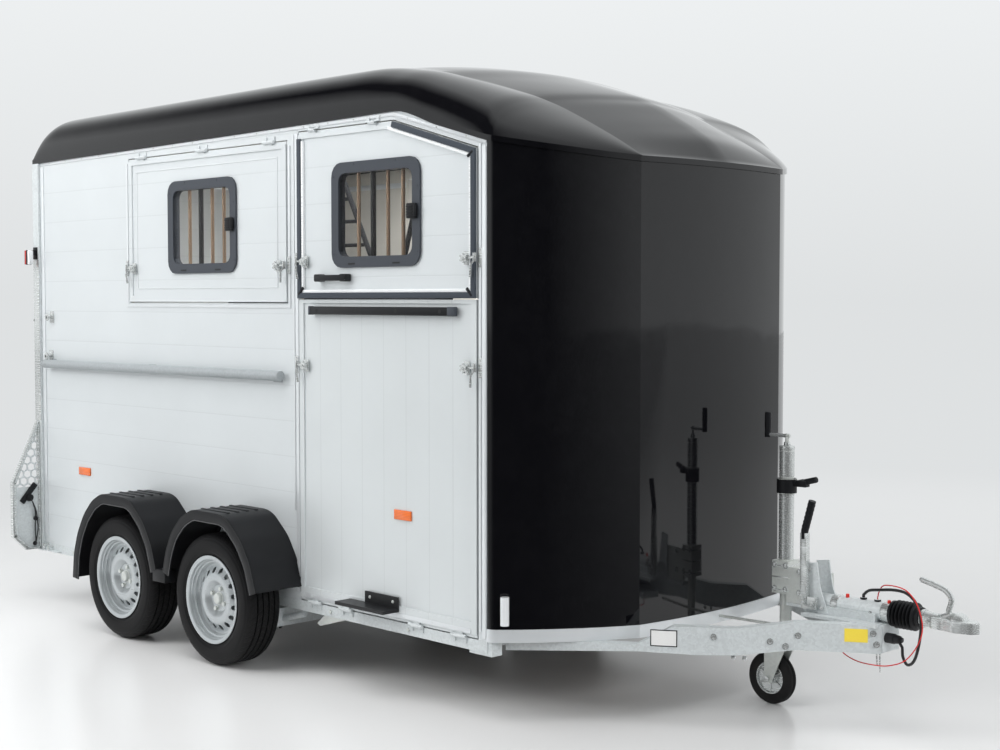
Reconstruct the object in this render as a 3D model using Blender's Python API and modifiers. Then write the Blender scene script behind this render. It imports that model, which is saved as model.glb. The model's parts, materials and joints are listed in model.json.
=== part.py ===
"""Two-horse trailer on its wheels and jockey wheel, metres, +Z up, +X towards the coupling.

Sizes along X are measured from the rear edge of the side walls; the root empty moves the
whole trailer so that its origin lies under the middle of its bounding box.
"""

import math

import bmesh
import bpy
from mathutils import Matrix, Vector

# Fits
GAP = 0.0003
CLEAR = 0.005
BITE = 0.002

# Ends of the trailer along X
LIP_X = -0.070
NOSE_TIP_X = 4.944
MIDDLE_X = (LIP_X + NOSE_TIP_X) / 2

# Body box
BODY_HALF = 0.920
WALL = 0.025
BASE_Z = 0.310
FLOOR = 0.030
POST_X = 3.402
PEAK_X = 2.870
EAVE_REAR_Z = 2.330
EAVE_PEAK_Z = 2.362
EAVE_POST_Z = 2.210
EAVE_NOSE_Z = 2.137
TUCK = 0.015

# Nose in plan
CORNER_X = 3.440
CORNER_Y = 0.905
CREASE_X = 3.762
CREASE_Y = 0.452
CORNER_BOW = 0.005
SIDE_BOW = 0.022
FRONT_BOW = 0.038
NOSE_WALL = 0.010
TRIM_TOP_Z = 0.360
TRIM_WALL = 0.004

# Roof
ROOF_WALL = 0.008
SKIRT = 0.022
ROOF_FIT = 0.001

# Chassis
RAIL_BOTTOM_Z = 0.265
RAIL_WIDTH = 0.050
SPINE_Y = 0.620
SPINE_BOTTOM_Z = 0.250
CROSS_X = (0.030, 0.560, 1.500, 2.230, 2.800, 3.330)
CROSS_WIDTH = 0.040

# Drawbar
BEAM_REAR_X = 3.400
BEAM_SLOPE = 0.640
BEAM_FRONT_X = 4.585
BEAM_FRONT_Y = 0.060
BEAM_WALL = 0.045
BEAM_CRANK_X = (4.140, 4.330)
BEAM_LOW = (0.280, 0.384)
BEAM_HIGH = (0.318, 0.422)

# Running gear
TYRE_R = 0.292
TYRE_WIDTH = 0.185
RIM_SEAT_R = 0.1790
RIM_FLANGE_R = 0.1947
RIM_HALF = 0.0875
DISC_IN = 0.050
WHEEL_Y = 1.0605
AXLE_X = (1.117, 1.890)
ARM = 0.160
BEAM_SIDE = 0.080
DAMPER_R = 0.015
HOLES = 16
WHEEL_STEPS = 24

# Mudguards
GUARD_OUT_Y = 1.170
GUARD_WALL = 0.006
GUARD_LIP = 0.045

# Side openings, lows and highs along X and Z
FLAP_BOX = (0.884, 2.160, 1.600, 2.294)
EXIT_X = (2.250, 3.350)
RAMP_TOP_Z = 1.612
FLAP_TOP_Z = 2.325
FLAP_BEND_X = 2.863
FLAP_CUT_Z = 2.184
DOOR_BOX = (2.560, 3.240, 0.360, 2.100)
BORDER = 0.030
BORDER_RISE = 0.006
HINGE_SET = 0.012

# Windows
PANE = (0.553, 0.434)
PANE_R = 0.060
PANE_RIM = 0.045
PANE_LAP = 0.015
PANE_PROUD = 0.010
GLASS = 0.004
FLAP_PANE_X = 1.514
FLAP_PANE_Z = 1.950
EXIT_PANE_X = 2.756
EXIT_PANE_Z = 1.961
BAR_R = 0.007
BAR_SHARES = (0.22, 0.42, 0.62, 0.82)

# Hinges
KNUCKLE_R = 0.008
KNUCKLE = 0.040
LEAF_REACH = 0.024

# Rear end
TAIL_OUT_X = -0.060
TAIL_X = -0.050
PORTAL_IN = 0.874
PORTAL_OUT = 0.936
SILL_TOP_Z = 0.318
TAIL_RAMP_Z = (0.326, 1.505)
TAIL_FLAP_Z = (1.513, 2.255)
WING_OUT_Y = 1.098
WING_Z = (0.275, 0.350, 0.640, 0.960)
HEX = 0.050
HEX_WEB = 0.007

# Jack
JACK_X = 4.060
JACK_Y = 0.090
JACK_OUT_R = 0.029
JACK_IN_R = 0.0235
JACK_TOP_Z = 1.036
JACK_WHEEL_R = 0.105
JACK_TRAIL = 0.060
FORK_TOP_Z = 0.255

# Overrun hitch
HITCH_Z = 0.462
HITCH_R = 0.036
HITCH_HALF = 0.040
GLAND_X = (4.470, 4.530)
GLAND_R = 0.010
HITCH_X = (4.242, 4.5967)
BELLOWS_X = (4.597, 4.715)
BELLOWS_R = (0.036, 0.052)
BALL_X = 4.857
BALL_R = 0.0255

# Cables: radii and the points that their routes pass through
GLAND_Z = HITCH_Z + HITCH_R + 0.006
HEAD_PLATE_X = (4.570, 4.587)
ELECTRIC_R = 0.0055
ELECTRIC_ROUTE = (
    (GLAND_X[0], 0.000, GLAND_Z + GAP), (4.470, 0.000, 0.514), (4.504, -0.016, 0.536), (4.560, -0.036, 0.548),
    (4.634, -0.056, 0.560), (4.696, -0.071, 0.556), (4.740, -0.079, 0.520), (4.757, -0.082, 0.455),
    (4.749, -0.081, 0.381), (4.728, -0.076, 0.320), (4.696, -0.066, 0.298), (4.668, -0.050, 0.318),
    (4.656, -0.036, 0.350), (4.636, -0.030, 0.372))
PLUG = ((4.645, -0.030, 0.375), (HEAD_PLATE_X[1] + GAP, -0.030, 0.375))
PLUG_R = 0.019
BREAKAWAY_R = 0.0022
BREAKAWAY_ROUTE = (
    (GLAND_X[1], 0.000, GLAND_Z + GAP), (4.530, 0.000, 0.512), (4.541, -0.008, 0.536),
    (4.580, -0.038, 0.568), (4.668, -0.082, 0.578),
    (4.718, -0.096, 0.564), (4.757, -0.102, 0.520), (4.776, -0.104, 0.450), (4.757, -0.102, 0.386),
    (4.705, -0.096, 0.321), (4.640, -0.086, 0.290), (4.575, -0.070, 0.276), (4.480, -0.050, 0.272),
    (4.408, -0.032, 0.287), (4.396, -0.030, 0.308),
    (4.396, -0.030, BEAM_HIGH[0] + 0.004 - GAP))


def clear_scene():
    """Removes every object that is already there."""
    for old in list(bpy.data.objects):
        bpy.data.objects.remove(old, do_unlink=True)


def new_collection(name):
    made = bpy.data.collections.new(name)
    bpy.context.scene.collection.children.link(made)
    return made


clear_scene()
PARTS = new_collection("horse_trailer")
TOOLS = new_collection("cutters")
ROOT = bpy.data.objects.new("trailer_origin", None)
ROOT.location = (-MIDDLE_X, 0.0, 0.0)
PARTS.objects.link(ROOT)
MATERIALS = {}


def material(name, colour, roughness, metallic=0.0, alpha=1.0):
    """A plain Principled material, made once for each name."""
    made = bpy.data.materials.new(name)
    made.use_nodes = True
    shader = made.node_tree.nodes["Principled BSDF"]
    shader.inputs["Base Color"].default_value = (*colour, 1.0)
    shader.inputs["Roughness"].default_value = roughness
    shader.inputs["Metallic"].default_value = metallic
    shader.inputs["Alpha"].default_value = alpha
    MATERIALS[name] = made


def make_materials():
    material("plank_aluminium", (0.74, 0.77, 0.79), 0.32, 0.55)
    material("edge_aluminium", (0.80, 0.82, 0.83), 0.28, 0.60)
    material("black_gelcoat", (0.012, 0.012, 0.014), 0.06)
    material("black_plastic", (0.030, 0.031, 0.034), 0.48)
    material("slate_frame", (0.085, 0.092, 0.100), 0.40)
    material("galvanised", (0.58, 0.61, 0.62), 0.38, 0.75)
    material("zinc_plate", (0.66, 0.66, 0.62), 0.28, 0.85)
    material("wheel_silver", (0.70, 0.72, 0.73), 0.25, 0.80)
    material("tyre_rubber", (0.022, 0.022, 0.023), 0.72)
    material("deck_brown", (0.16, 0.11, 0.08), 0.70)
    material("bar_bronze", (0.30, 0.22, 0.13), 0.40, 0.30)
    material("pane", (0.60, 0.66, 0.68), 0.04, 0.0, 0.35)
    material("lamp_red", (0.45, 0.02, 0.02), 0.15)
    material("lamp_clear", (0.80, 0.82, 0.84), 0.10)
    material("reflector_orange", (0.90, 0.25, 0.02), 0.20)
    material("cable_black", (0.015, 0.015, 0.016), 0.50)
    material("cable_red", (0.55, 0.03, 0.04), 0.45)


def empty(name, at, parent=ROOT):
    """A pivot: at is in trailer coordinates."""
    made = bpy.data.objects.new(name, None)
    PARTS.objects.link(made)
    made.parent = parent
    made.location = Vector(at) - origin_of(parent)
    return made


def origin_of(holder):
    """Where a holder's origin is in trailer coordinates."""
    place = Vector((0.0, 0.0, 0.0))
    while holder is not None and holder is not ROOT:
        place += holder.location
        holder = holder.parent
    return place


def helper(mesh, name="piece"):
    """A mesh held back as an operand of another piece."""
    made = bpy.data.objects.new(name, mesh)
    made.parent = ROOT
    made.hide_render = True
    made.display_type = "WIRE"
    TOOLS.objects.link(made)
    return made


def part(name, pieces, finish, cuts=(), pivot=ROOT, smooth=None):
    """One node: the pieces joined, the cuts taken out, hung on its pivot."""
    base = pieces[0]
    made = bpy.data.objects.new(name, base)
    made.parent = pivot
    made.location = -origin_of(pivot)
    PARTS.objects.link(made)
    base.materials.clear()
    base.materials.append(MATERIALS[finish])
    for operation, operands in (("UNION", pieces[1:]), ("DIFFERENCE", cuts)):
        if not operands:
            continue
        held = bpy.data.collections.new(f"{name}_{operation.lower()}")
        TOOLS.children.link(held)
        for operand in operands:
            tool = helper(operand, f"{name}_{operation.lower()}")
            TOOLS.objects.unlink(tool)
            held.objects.link(tool)
        boolean = made.modifiers.new(operation.title(), "BOOLEAN")
        boolean.operation = operation
        boolean.operand_type = "COLLECTION"
        boolean.collection = held
        boolean.solver = "EXACT"
    if smooth is not None:
        base.shade_smooth()
        base.set_sharp_from_angle(angle=math.radians(smooth))
    return made


def mesh_of(shape, name="shape"):
    """The bmesh as a mesh datablock, with its normals outwards."""
    bmesh.ops.recalc_face_normals(shape, faces=shape.faces)
    made = bpy.data.meshes.new(name)
    shape.to_mesh(made)
    shape.free()
    return made


def box(x, y, z):
    """A box from its low and high along each axis."""
    shape = bmesh.new()
    bmesh.ops.create_cube(shape, size=1.0)
    lows = [min(pair) for pair in (x, y, z)]
    sides = [abs(pair[1] - pair[0]) for pair in (x, y, z)]
    for point in shape.verts:
        point.co = Vector([low + side * (c + 0.5) for low, side, c in zip(lows, sides, point.co)])
    return mesh_of(shape, "box")


def rod(start, end, radius, sides=12, radius_end=None):
    """A round bar or cone from start to end."""
    start, end = Vector(start), Vector(end)
    along = end - start
    shape = bmesh.new()
    bmesh.ops.create_cone(
        shape, cap_ends=True, segments=sides, depth=along.length,
        radius1=radius, radius2=radius if radius_end is None else radius_end)
    turn = along.to_track_quat("Z", "Y").to_matrix().to_4x4()
    bmesh.ops.transform(shape, matrix=Matrix.Translation((start + end) / 2) @ turn, verts=shape.verts)
    return mesh_of(shape, "rod")


def from_curve(curve, matrix=None):
    """The curve's solid as a welded mesh; the curve is removed."""
    held = bpy.data.objects.new("curve", curve)
    TOOLS.objects.link(held)
    graph = bpy.context.evaluated_depsgraph_get()
    made = bpy.data.meshes.new_from_object(held.evaluated_get(graph))
    bpy.data.objects.remove(held, do_unlink=True)
    bpy.data.curves.remove(curve)
    shape = bmesh.new()
    shape.from_mesh(made)
    bpy.data.meshes.remove(made)
    bmesh.ops.remove_doubles(shape, verts=shape.verts, dist=0.00005)
    if matrix is not None:
        bmesh.ops.transform(shape, matrix=matrix, verts=shape.verts)
    return mesh_of(shape, "from_curve")


AXIS_MAPS = {
    "X": Matrix(((0, 0, 1, 0), (1, 0, 0, 0), (0, 1, 0, 0), (0, 0, 0, 1))),
    "Y": Matrix(((1, 0, 0, 0), (0, 0, -1, 0), (0, 1, 0, 0), (0, 0, 0, 1))),
    "Z": Matrix.Identity(4),
}


def plate(loops, axis, low, high):
    """A flat outline with holes, from low to high along an axis.

    The loops' pairs are (y, z) for X, (x, z) for Y and (x, y) for Z; loops after the
    first are holes.
    """
    curve = bpy.data.curves.new("outline", "CURVE")
    curve.dimensions = "2D"
    curve.fill_mode = "BOTH"
    curve.extrude = abs(high - low) / 2
    for loop in loops:
        spline = curve.splines.new("POLY")
        spline.points.add(len(loop) - 1)
        for point, (a, b) in zip(spline.points, loop):
            point.co = (a, b, 0.0, 1.0)
        spline.use_cyclic_u = True
    offset = {"X": (1, 0, 0), "Y": (0, 1, 0), "Z": (0, 0, 1)}[axis]
    move = Matrix.Translation(Vector(offset) * (low + high) / 2)
    return from_curve(curve, move @ AXIS_MAPS[axis])


def tube(route, radius, sides_level=3, closed=False):
    """A round bar along a route of points with filled ends."""
    curve = bpy.data.curves.new("tube", "CURVE")
    curve.dimensions = "3D"
    curve.bevel_depth = radius
    curve.bevel_resolution = sides_level
    curve.use_fill_caps = not closed
    curve.resolution_u = 4
    spline = curve.splines.new("POLY")
    spline.points.add(len(route) - 1)
    for point, place in zip(spline.points, route):
        point.co = (*place, 1.0)
    spline.use_cyclic_u = closed
    return from_curve(curve)


def turned(profile, centre, axis="Y", steps=40):
    """A turned solid: profile pairs are (radius, place along the axis), outer side downwards."""
    mesh = bpy.data.meshes.new("profile")
    points = [(radius, 0.0, along) for radius, along in profile]
    count = len(points)
    ring = profile[0][0] > 0.0
    edges = [(i, i + 1) for i in range(count - 1)] + ([(count - 1, 0)] if ring else [])
    mesh.from_pydata(points, edges, [])
    held = bpy.data.objects.new("profile", mesh)
    TOOLS.objects.link(held)
    screw = held.modifiers.new("Screw", "SCREW")
    screw.axis = "Z"
    screw.steps = steps
    screw.render_steps = steps
    screw.use_merge_vertices = True
    screw.merge_threshold = 0.00005
    graph = bpy.context.evaluated_depsgraph_get()
    made = bpy.data.meshes.new_from_object(held.evaluated_get(graph))
    bpy.data.objects.remove(held, do_unlink=True)
    shape = bmesh.new()
    shape.from_mesh(made)
    bpy.data.meshes.remove(made)
    bmesh.ops.remove_doubles(shape, verts=shape.verts, dist=0.00005)
    turn = {
        "X": Matrix.Rotation(math.pi / 2, 4, "Y"),
        "Y": Matrix.Rotation(-math.pi / 2, 4, "X"),
        "Z": Matrix.Identity(4),
    }[axis]
    bmesh.ops.transform(shape, matrix=Matrix.Translation(centre) @ turn, verts=shape.verts)
    return mesh_of(shape, "turned")


def rounded(centre, size, radius, steps=4):
    """A rectangle's outline with round corners."""
    points = []
    corners = ((1, 1, 0), (-1, 1, 90), (-1, -1, 180), (1, -1, 270))
    for right, up, start in corners:
        middle_a = centre[0] + right * (size[0] / 2 - radius)
        middle_b = centre[1] + up * (size[1] / 2 - radius)
        for step in range(steps + 1):
            angle = math.radians(start + 90 * step / steps)
            points.append((middle_a + radius * math.cos(angle), middle_b + radius * math.sin(angle)))
    return points


def rectangle(a, b):
    """A rectangle's outline from two pairs of low and high."""
    return [(a[0], b[0]), (a[1], b[0]), (a[1], b[1]), (a[0], b[1])]


def bowed(start, end, bow, steps):
    """Points along the arc from start to end that stands bow outside its chord, without its end."""
    start, end = Vector(start), Vector(end)
    chord = end - start
    outwards = Vector((chord.y, -chord.x)).normalized()
    if outwards.x < 0:
        outwards = -outwards
    points = []
    for step in range(steps):
        share = step / steps
        rise = 4 * bow * share * (1 - share)
        points.append(tuple(start + chord * share + outwards * rise))
    return points


def offset_path(points, distance):
    """The open path moved sideways, to its right where distance is positive."""
    moved = []
    for i, point in enumerate(points):
        normals = []
        if i > 0:
            a = Vector(points[i]) - Vector(points[i - 1])
            normals.append(Vector((a.y, -a.x)).normalized())
        if i < len(points) - 1:
            a = Vector(points[i + 1]) - Vector(points[i])
            normals.append(Vector((a.y, -a.x)).normalized())
        normal = sum(normals, Vector((0.0, 0.0))).normalized()
        stretch = 1.0 / max(0.5, normal.dot(normals[0]))
        moved.append(tuple(Vector(point) + normal * distance * stretch))
    return moved


def nose_plan(offset=0.0):
    """The nose's outline in plan, from the right post round to the left one."""
    half = bowed((POST_X, -BODY_HALF), (CORNER_X, -CORNER_Y), CORNER_BOW, 2)
    half += bowed((CORNER_X, -CORNER_Y), (CREASE_X, -CREASE_Y), SIDE_BOW, 4)
    front = bowed((CREASE_X, -CREASE_Y), (CREASE_X, CREASE_Y), FRONT_BOW, 6)
    other = [(x, -y) for x, y in reversed(half)]
    whole = half + front + [(CREASE_X, CREASE_Y)] + other
    return offset_path(whole, offset)


def eave_z(x):
    """The height of the roof's lower edge at a place along X."""
    stops = (
        (LIP_X, EAVE_REAR_Z), (PEAK_X, EAVE_PEAK_Z),
        (POST_X, EAVE_POST_Z), (CREASE_X, EAVE_NOSE_Z))
    for (x0, z0), (x1, z1) in zip(stops, stops[1:]):
        if x <= x1:
            return z0 + (z1 - z0) * (x - x0) / (x1 - x0)
    return EAVE_NOSE_Z


def hinge(axis, at, spans, out, leaf_to, both=True):
    """Surface hinges: (moving pieces, fixed pieces) for knuckles centred at each span.

    axis is the hinge line's direction, out the outward direction and leaf_to the
    direction of the moving leaf, all as unit vectors; at is a point of the line.
    """
    axis, at, out, leaf_to = Vector(axis), Vector(at), Vector(out), Vector(leaf_to)
    moving, fixed = [], []
    for span in spans:
        middle = at + axis * span
        for sign, pieces, way in ((0, moving, leaf_to), (-1, fixed, -leaf_to), (1, fixed, -leaf_to)):
            if sign == 1 and not both:
                continue
            half = KNUCKLE / 2 if sign == 0 else KNUCKLE / 4
            centre = middle + axis * sign * (KNUCKLE * 3 / 4 + GAP * 2)
            pieces.append(rod(centre - axis * half, centre + axis * half, KNUCKLE_R, 8))
            corner = centre - axis * half - out * KNUCKLE_R * 0.4
            far = centre + axis * half - out * (KNUCKLE_R + BITE) + way * LEAF_REACH
            pieces.append(box(*[(corner[i], far[i]) for i in range(3)]))
    return moving, fixed


# Body


def make_floor():
    """The deck between the walls and on into the nose."""
    plan = [(x, y) for x, y in offset_path(nose_plan(), -(NOSE_WALL + GAP)) if x > CORNER_X]
    side = BODY_HALF - WALL - GAP
    back = side - CLEAR
    near, far = EXIT_X[0] - CLEAR, EXIT_X[1] + CLEAR
    step = [(near, -side), (near, -back), (far, -back), (far, -side)]
    outline = [(0.0, -side)] + step + [(POST_X, -side)] + plan + [(POST_X, side), (0.0, side)]
    return part("floor_deck", [plate([outline], "Z", BASE_Z, BASE_Z + FLOOR)], "deck_brown")


def exit_outline(grow, low):
    """The right front opening's outline, grown all round."""
    return [
        (EXIT_X[0] - grow, low), (EXIT_X[1] + grow, low),
        (EXIT_X[1] + grow, FLAP_CUT_Z + grow), (FLAP_BEND_X, FLAP_TOP_Z + grow),
        (EXIT_X[0] - grow, FLAP_TOP_Z + grow)]


def wall_outline():
    return [
        (0.0, BASE_Z), (POST_X, BASE_Z), (POST_X, eave_z(POST_X) + TUCK),
        (PEAK_X, eave_z(PEAK_X) + TUCK), (0.0, eave_z(0.0) + TUCK)]


def side_faces(side):
    """The low and high of a wall along Y."""
    return sorted((side * BODY_HALF, side * (BODY_HALF - WALL)))


def grown(bounds, by):
    return ((bounds[0] - by, bounds[1] + by), (bounds[2] - by, bounds[3] + by))


def hinge_line(side):
    return side * (BODY_HALF + KNUCKLE_R + 0.0005)


def make_wall(side, fixed_leaves):
    """A side wall of planks with its flap and door openings."""
    name = "right_wall" if side < 0 else "left_wall"
    low, high = side_faces(side)
    holes = [rectangle(*grown(FLAP_BOX, CLEAR))]
    cuts = []
    if side < 0:
        cuts.append(plate([exit_outline(CLEAR, BASE_Z - 0.05)], "Y", low - 0.02, high + 0.02))
    else:
        holes.append(rectangle(*grown(DOOR_BOX, CLEAR)))
    body = plate([wall_outline()] + holes, "Y", low, high)
    post = box(
        (POST_X - 0.050, POST_X), (side * (BODY_HALF - WALL + BITE), side * (BODY_HALF - 0.045)),
        (BASE_Z + FLOOR + GAP, EAVE_POST_Z - 0.010))
    return part(name, [body, post] + fixed_leaves, "plank_aluminium", cuts)


def window(name, centre, side, pivot):
    """A window of a side panel: its rim with the bars behind it, and its pane."""
    face = side * BODY_HALF
    opening = (PANE[0] - 2 * PANE_RIM, PANE[1] - 2 * PANE_RIM)
    sleeve = (PANE[0] - 2 * PANE_LAP - 2 * GAP, PANE[1] - 2 * PANE_LAP - 2 * GAP)
    inner = rounded(centre, opening, PANE_R - PANE_RIM / 2)
    flange = plate(
        [rounded(centre, PANE, PANE_R), inner], "Y",
        *sorted((face + side * GAP, face + side * PANE_PROUD)))
    sleeve_ring = plate(
        [rounded(centre, sleeve, PANE_R - PANE_LAP), inner], "Y",
        *sorted((face + side * BITE, face - side * (WALL + 0.004))))
    bars = []
    reach = opening[1] / 2 + PANE_RIM / 3
    for share in BAR_SHARES:
        x = centre[0] - opening[0] / 2 + share * opening[0]
        y = face - side * (WALL - 0.006)
        bars.append(rod((x, y, centre[1] - reach), (x, y, centre[1] + reach), BAR_R, 6))
    part(f"{name}_frame", [flange, sleeve_ring] + bars, "slate_frame", pivot=pivot)
    fitted = (opening[0] - 2 * GAP, opening[1] - 2 * GAP)
    pane = plate(
        [rounded(centre, fitted, PANE_R - PANE_RIM / 2)], "Y",
        *sorted((face, face - side * GLASS)))
    part(f"{name}_glass", [pane], "pane", pivot=pivot)


def pane_hole(centre):
    size = (PANE[0] - 2 * PANE_LAP, PANE[1] - 2 * PANE_LAP)
    return rounded(centre, size, PANE_R - PANE_LAP + GAP)


def make_side_flap(side):
    """The top-hung flap beside the horses' heads, with its window; gives its wall leaves."""
    name = "right" if side < 0 else "left"
    x0, x1, z0, z1 = FLAP_BOX
    low, high = side_faces(side)
    line = (0.0, hinge_line(side), z1 + CLEAR / 2)
    spans = [x0 + 0.12, (x0 + x1) / 2, x1 - 0.12]
    moving, fixed = hinge((1, 0, 0), line, spans, (0, side, 0), (0, 0, -1))
    pivot = empty(f"{name}_flap_hinge", ((x0 + x1) / 2, line[1], line[2]))
    centre = (FLAP_PANE_X, FLAP_PANE_Z)
    panel = plate([rectangle((x0, x1), (z0, z1)), pane_hole(centre)], "Y", low, high)
    face = side * BODY_HALF
    border = plate(
        [rectangle((x0, x1), (z0, z1 - HINGE_SET)),
         rectangle((x0 + BORDER, x1 - BORDER), (z0 + BORDER, z1 - BORDER))],
        "Y", *sorted((face - side * BITE, face + side * BORDER_RISE)))
    part(f"{name}_side_flap", [panel, border] + moving, "plank_aluminium", pivot=pivot)
    window(f"{name}_flap_window", centre, side, pivot)
    return fixed


def make_exit_flap():
    """The top-hung flap above the front ramp, its slanted corner under the roof; gives its leaves."""
    side = -1
    low, high = side_faces(side)
    line = (0.0, hinge_line(side), FLAP_TOP_Z + CLEAR / 2)
    moving, fixed = hinge(
        (1, 0, 0), line, [EXIT_X[0] + 0.10, FLAP_BEND_X - 0.12], (0, side, 0), (0, 0, -1))
    pivot = empty("exit_flap_hinge", (EXIT_X[0], line[1], line[2]))
    centre = (EXIT_PANE_X, EXIT_PANE_Z)
    outline = exit_outline(0.0, RAMP_TOP_Z + CLEAR)
    inner = [
        (EXIT_X[0] + BORDER, RAMP_TOP_Z + CLEAR + BORDER), (EXIT_X[1] - BORDER, RAMP_TOP_Z + CLEAR + BORDER),
        (EXIT_X[1] - BORDER, FLAP_CUT_Z - BORDER * 0.8), (FLAP_BEND_X - BORDER * 0.1, FLAP_TOP_Z - BORDER),
        (EXIT_X[0] + BORDER, FLAP_TOP_Z - BORDER)]
    panel = plate([outline, pane_hole(centre)], "Y", low, high)
    edge_z = FLAP_TOP_Z - HINGE_SET
    outer = outline[:3] + [(FLAP_BEND_X - HINGE_SET * 0.3, edge_z), (EXIT_X[0], edge_z)]
    border = plate([outer, inner], "Y", low - BORDER_RISE, low + BITE)
    handle_z = 1.702
    handle = [
        box((2.390, 2.594), (low - 0.034, low - 0.022), (handle_z - 0.009, handle_z + 0.009)),
        box((2.400, 2.418), (low - 0.030, low + BITE), (handle_z - 0.008, handle_z + 0.008)),
        box((2.566, 2.584), (low - 0.030, low + BITE), (handle_z - 0.008, handle_z + 0.008))]
    part("exit_flap", [panel, border] + moving + handle, "plank_aluminium", pivot=pivot)
    window("exit_window", centre, side, pivot)
    return fixed


def make_exit_ramp():
    """The bottom-hung front ramp with its pad bar and step; gives the rail's leaves."""
    side = -1
    low, high = side_faces(side)
    z0 = BASE_Z + CLEAR
    line = (0.0, hinge_line(side), z0 - CLEAR / 2)
    moving, fixed = hinge(
        (1, 0, 0), line, [EXIT_X[0] + 0.10, 2.560, 3.000, EXIT_X[1] - 0.10], (0, side, 0), (0, 0, 1))
    pivot = empty("exit_ramp_hinge", (EXIT_X[0], line[1], line[2]))
    face = low
    panel = box(EXIT_X, (low, high), (z0, RAMP_TOP_Z))
    border = plate(
        [rectangle(EXIT_X, (z0 + HINGE_SET, RAMP_TOP_Z)),
         rectangle((EXIT_X[0] + BORDER, EXIT_X[1] - BORDER), (z0 + BORDER * 2, RAMP_TOP_Z - BORDER / 2))],
        "Y", face - BORDER_RISE, face + BITE)
    part("exit_ramp", [panel, border] + moving, "plank_aluminium", pivot=pivot)
    seat = face - BORDER_RISE - GAP
    bar = box((2.318, 3.225), (seat + BORDER_RISE, seat - 0.022), (1.553, 1.577))
    part("exit_ramp_bar", [bar], "black_plastic", pivot=pivot)
    back = box((2.690, 2.897), (seat, seat - 0.006), (0.352, 0.412))
    tread = box((2.591, 2.897), (seat - 0.003, seat - 0.085), (0.352, 0.366))
    part("exit_ramp_step", [back, tread], "black_plastic", pivot=pivot)
    return fixed


def make_groom_door():
    """The groom's door in the left wall, hung at its front edge; gives its leaves."""
    side = 1
    x0, x1, z0, z1 = DOOR_BOX
    low, high = side_faces(side)
    line = (x1 + CLEAR / 2, hinge_line(side), 0.0)
    moving, fixed = hinge((0, 0, 1), line, [z0 + 0.15, (z0 + z1) / 2, z1 - 0.15], (0, side, 0), (-1, 0, 0))
    pivot = empty("groom_door_hinge", (line[0], line[1], z0))
    panel = box((x0, x1), (low, high), (z0, z1))
    border = plate(
        [rectangle((x0, x1 - HINGE_SET), (z0, z1)),
         rectangle((x0 + BORDER, x1 - BORDER), (z0 + BORDER, z1 - BORDER))],
        "Y", high - BITE, high + BORDER_RISE)
    grip = [
        box((x0 + 0.055, x0 + 0.075), (high + 0.020, high + 0.032), (1.050, 1.220)),
        box((x0 + 0.055, x0 + 0.075), (high - BITE, high + 0.030), (1.055, 1.075)),
        box((x0 + 0.055, x0 + 0.075), (high - BITE, high + 0.030), (1.195, 1.215))]
    part("groom_door", [panel, border] + moving + grip, "plank_aluminium", pivot=pivot)
    return fixed


def loft(rows):
    """A grid of faces through rows of points, as an open surface."""
    shape = bmesh.new()
    grid = [[shape.verts.new(point) for point in row] for row in rows]
    for near, far in zip(grid, grid[1:]):
        for i in range(len(near) - 1):
            shape.faces.new((near[i], near[i + 1], far[i + 1], far[i]))
    bmesh.ops.remove_doubles(shape, verts=shape.verts, dist=0.0001)
    return shape


def bezier(start, pull, end, steps):
    """Points of a quadratic curve after its start, its end included."""
    start, pull, end = Vector(start), Vector(pull), Vector(end)
    points = []
    for step in range(1, steps + 1):
        t = step / steps
        points.append(start * (1 - t) ** 2 + pull * 2 * t * (1 - t) + end * t * t)
    return points


# Roof sections, rear to front: the eave's x, or for the nose its point of the plan; the
# crease's x, y and z; the crown's x and z
ROOF_BACK = (
    (LIP_X, LIP_X, 0.740, EAVE_REAR_Z + SKIRT, LIP_X, EAVE_REAR_Z + SKIRT),
    (-0.045, -0.066, 0.730, 2.440, -0.066, 2.470),
    (0.020, -0.010, 0.725, 2.530, -0.010, 2.575),
    (0.160, 0.140, 0.720, 2.568, 0.140, 2.625),
    (1.500, 1.500, 0.720, 2.573, 1.500, 2.638),
    (2.600, 2.600, 0.720, 2.576, 2.600, 2.636),
    (PEAK_X, 2.860, 0.690, 2.545, 2.860, 2.602),
    (3.130, 3.020, 0.600, 2.510, 3.080, 2.545),
)
ROOF_NOSE = (
    (3.280, 0.515, 2.414, 3.360, 2.452),
    (3.330, 0.500, 2.395, 3.410, 2.432),
    (3.380, 0.490, 2.376, 3.460, 2.412),
    (3.475, 0.485, 2.329, 3.550, 2.362),
    (3.575, 0.480, 2.275, 3.645, 2.305),
    (3.670, 0.468, 2.222, 3.735, 2.246),
)


def roof_row(eave, crease, crown):
    """A section from the right eave over the crown to the left one."""
    pull = Vector((eave.x * 0.6 + crease.x * 0.4, eave.y, crease.z))
    half = [eave] + bezier(eave, pull, crease, 4)
    half += bezier(crease, ((crease.x + crown.x) / 2, crease.y / 2, crown.z), crown, 3)
    return half + [Vector((p.x, -p.y, p.z)) for p in reversed(half[:-1])]


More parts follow.
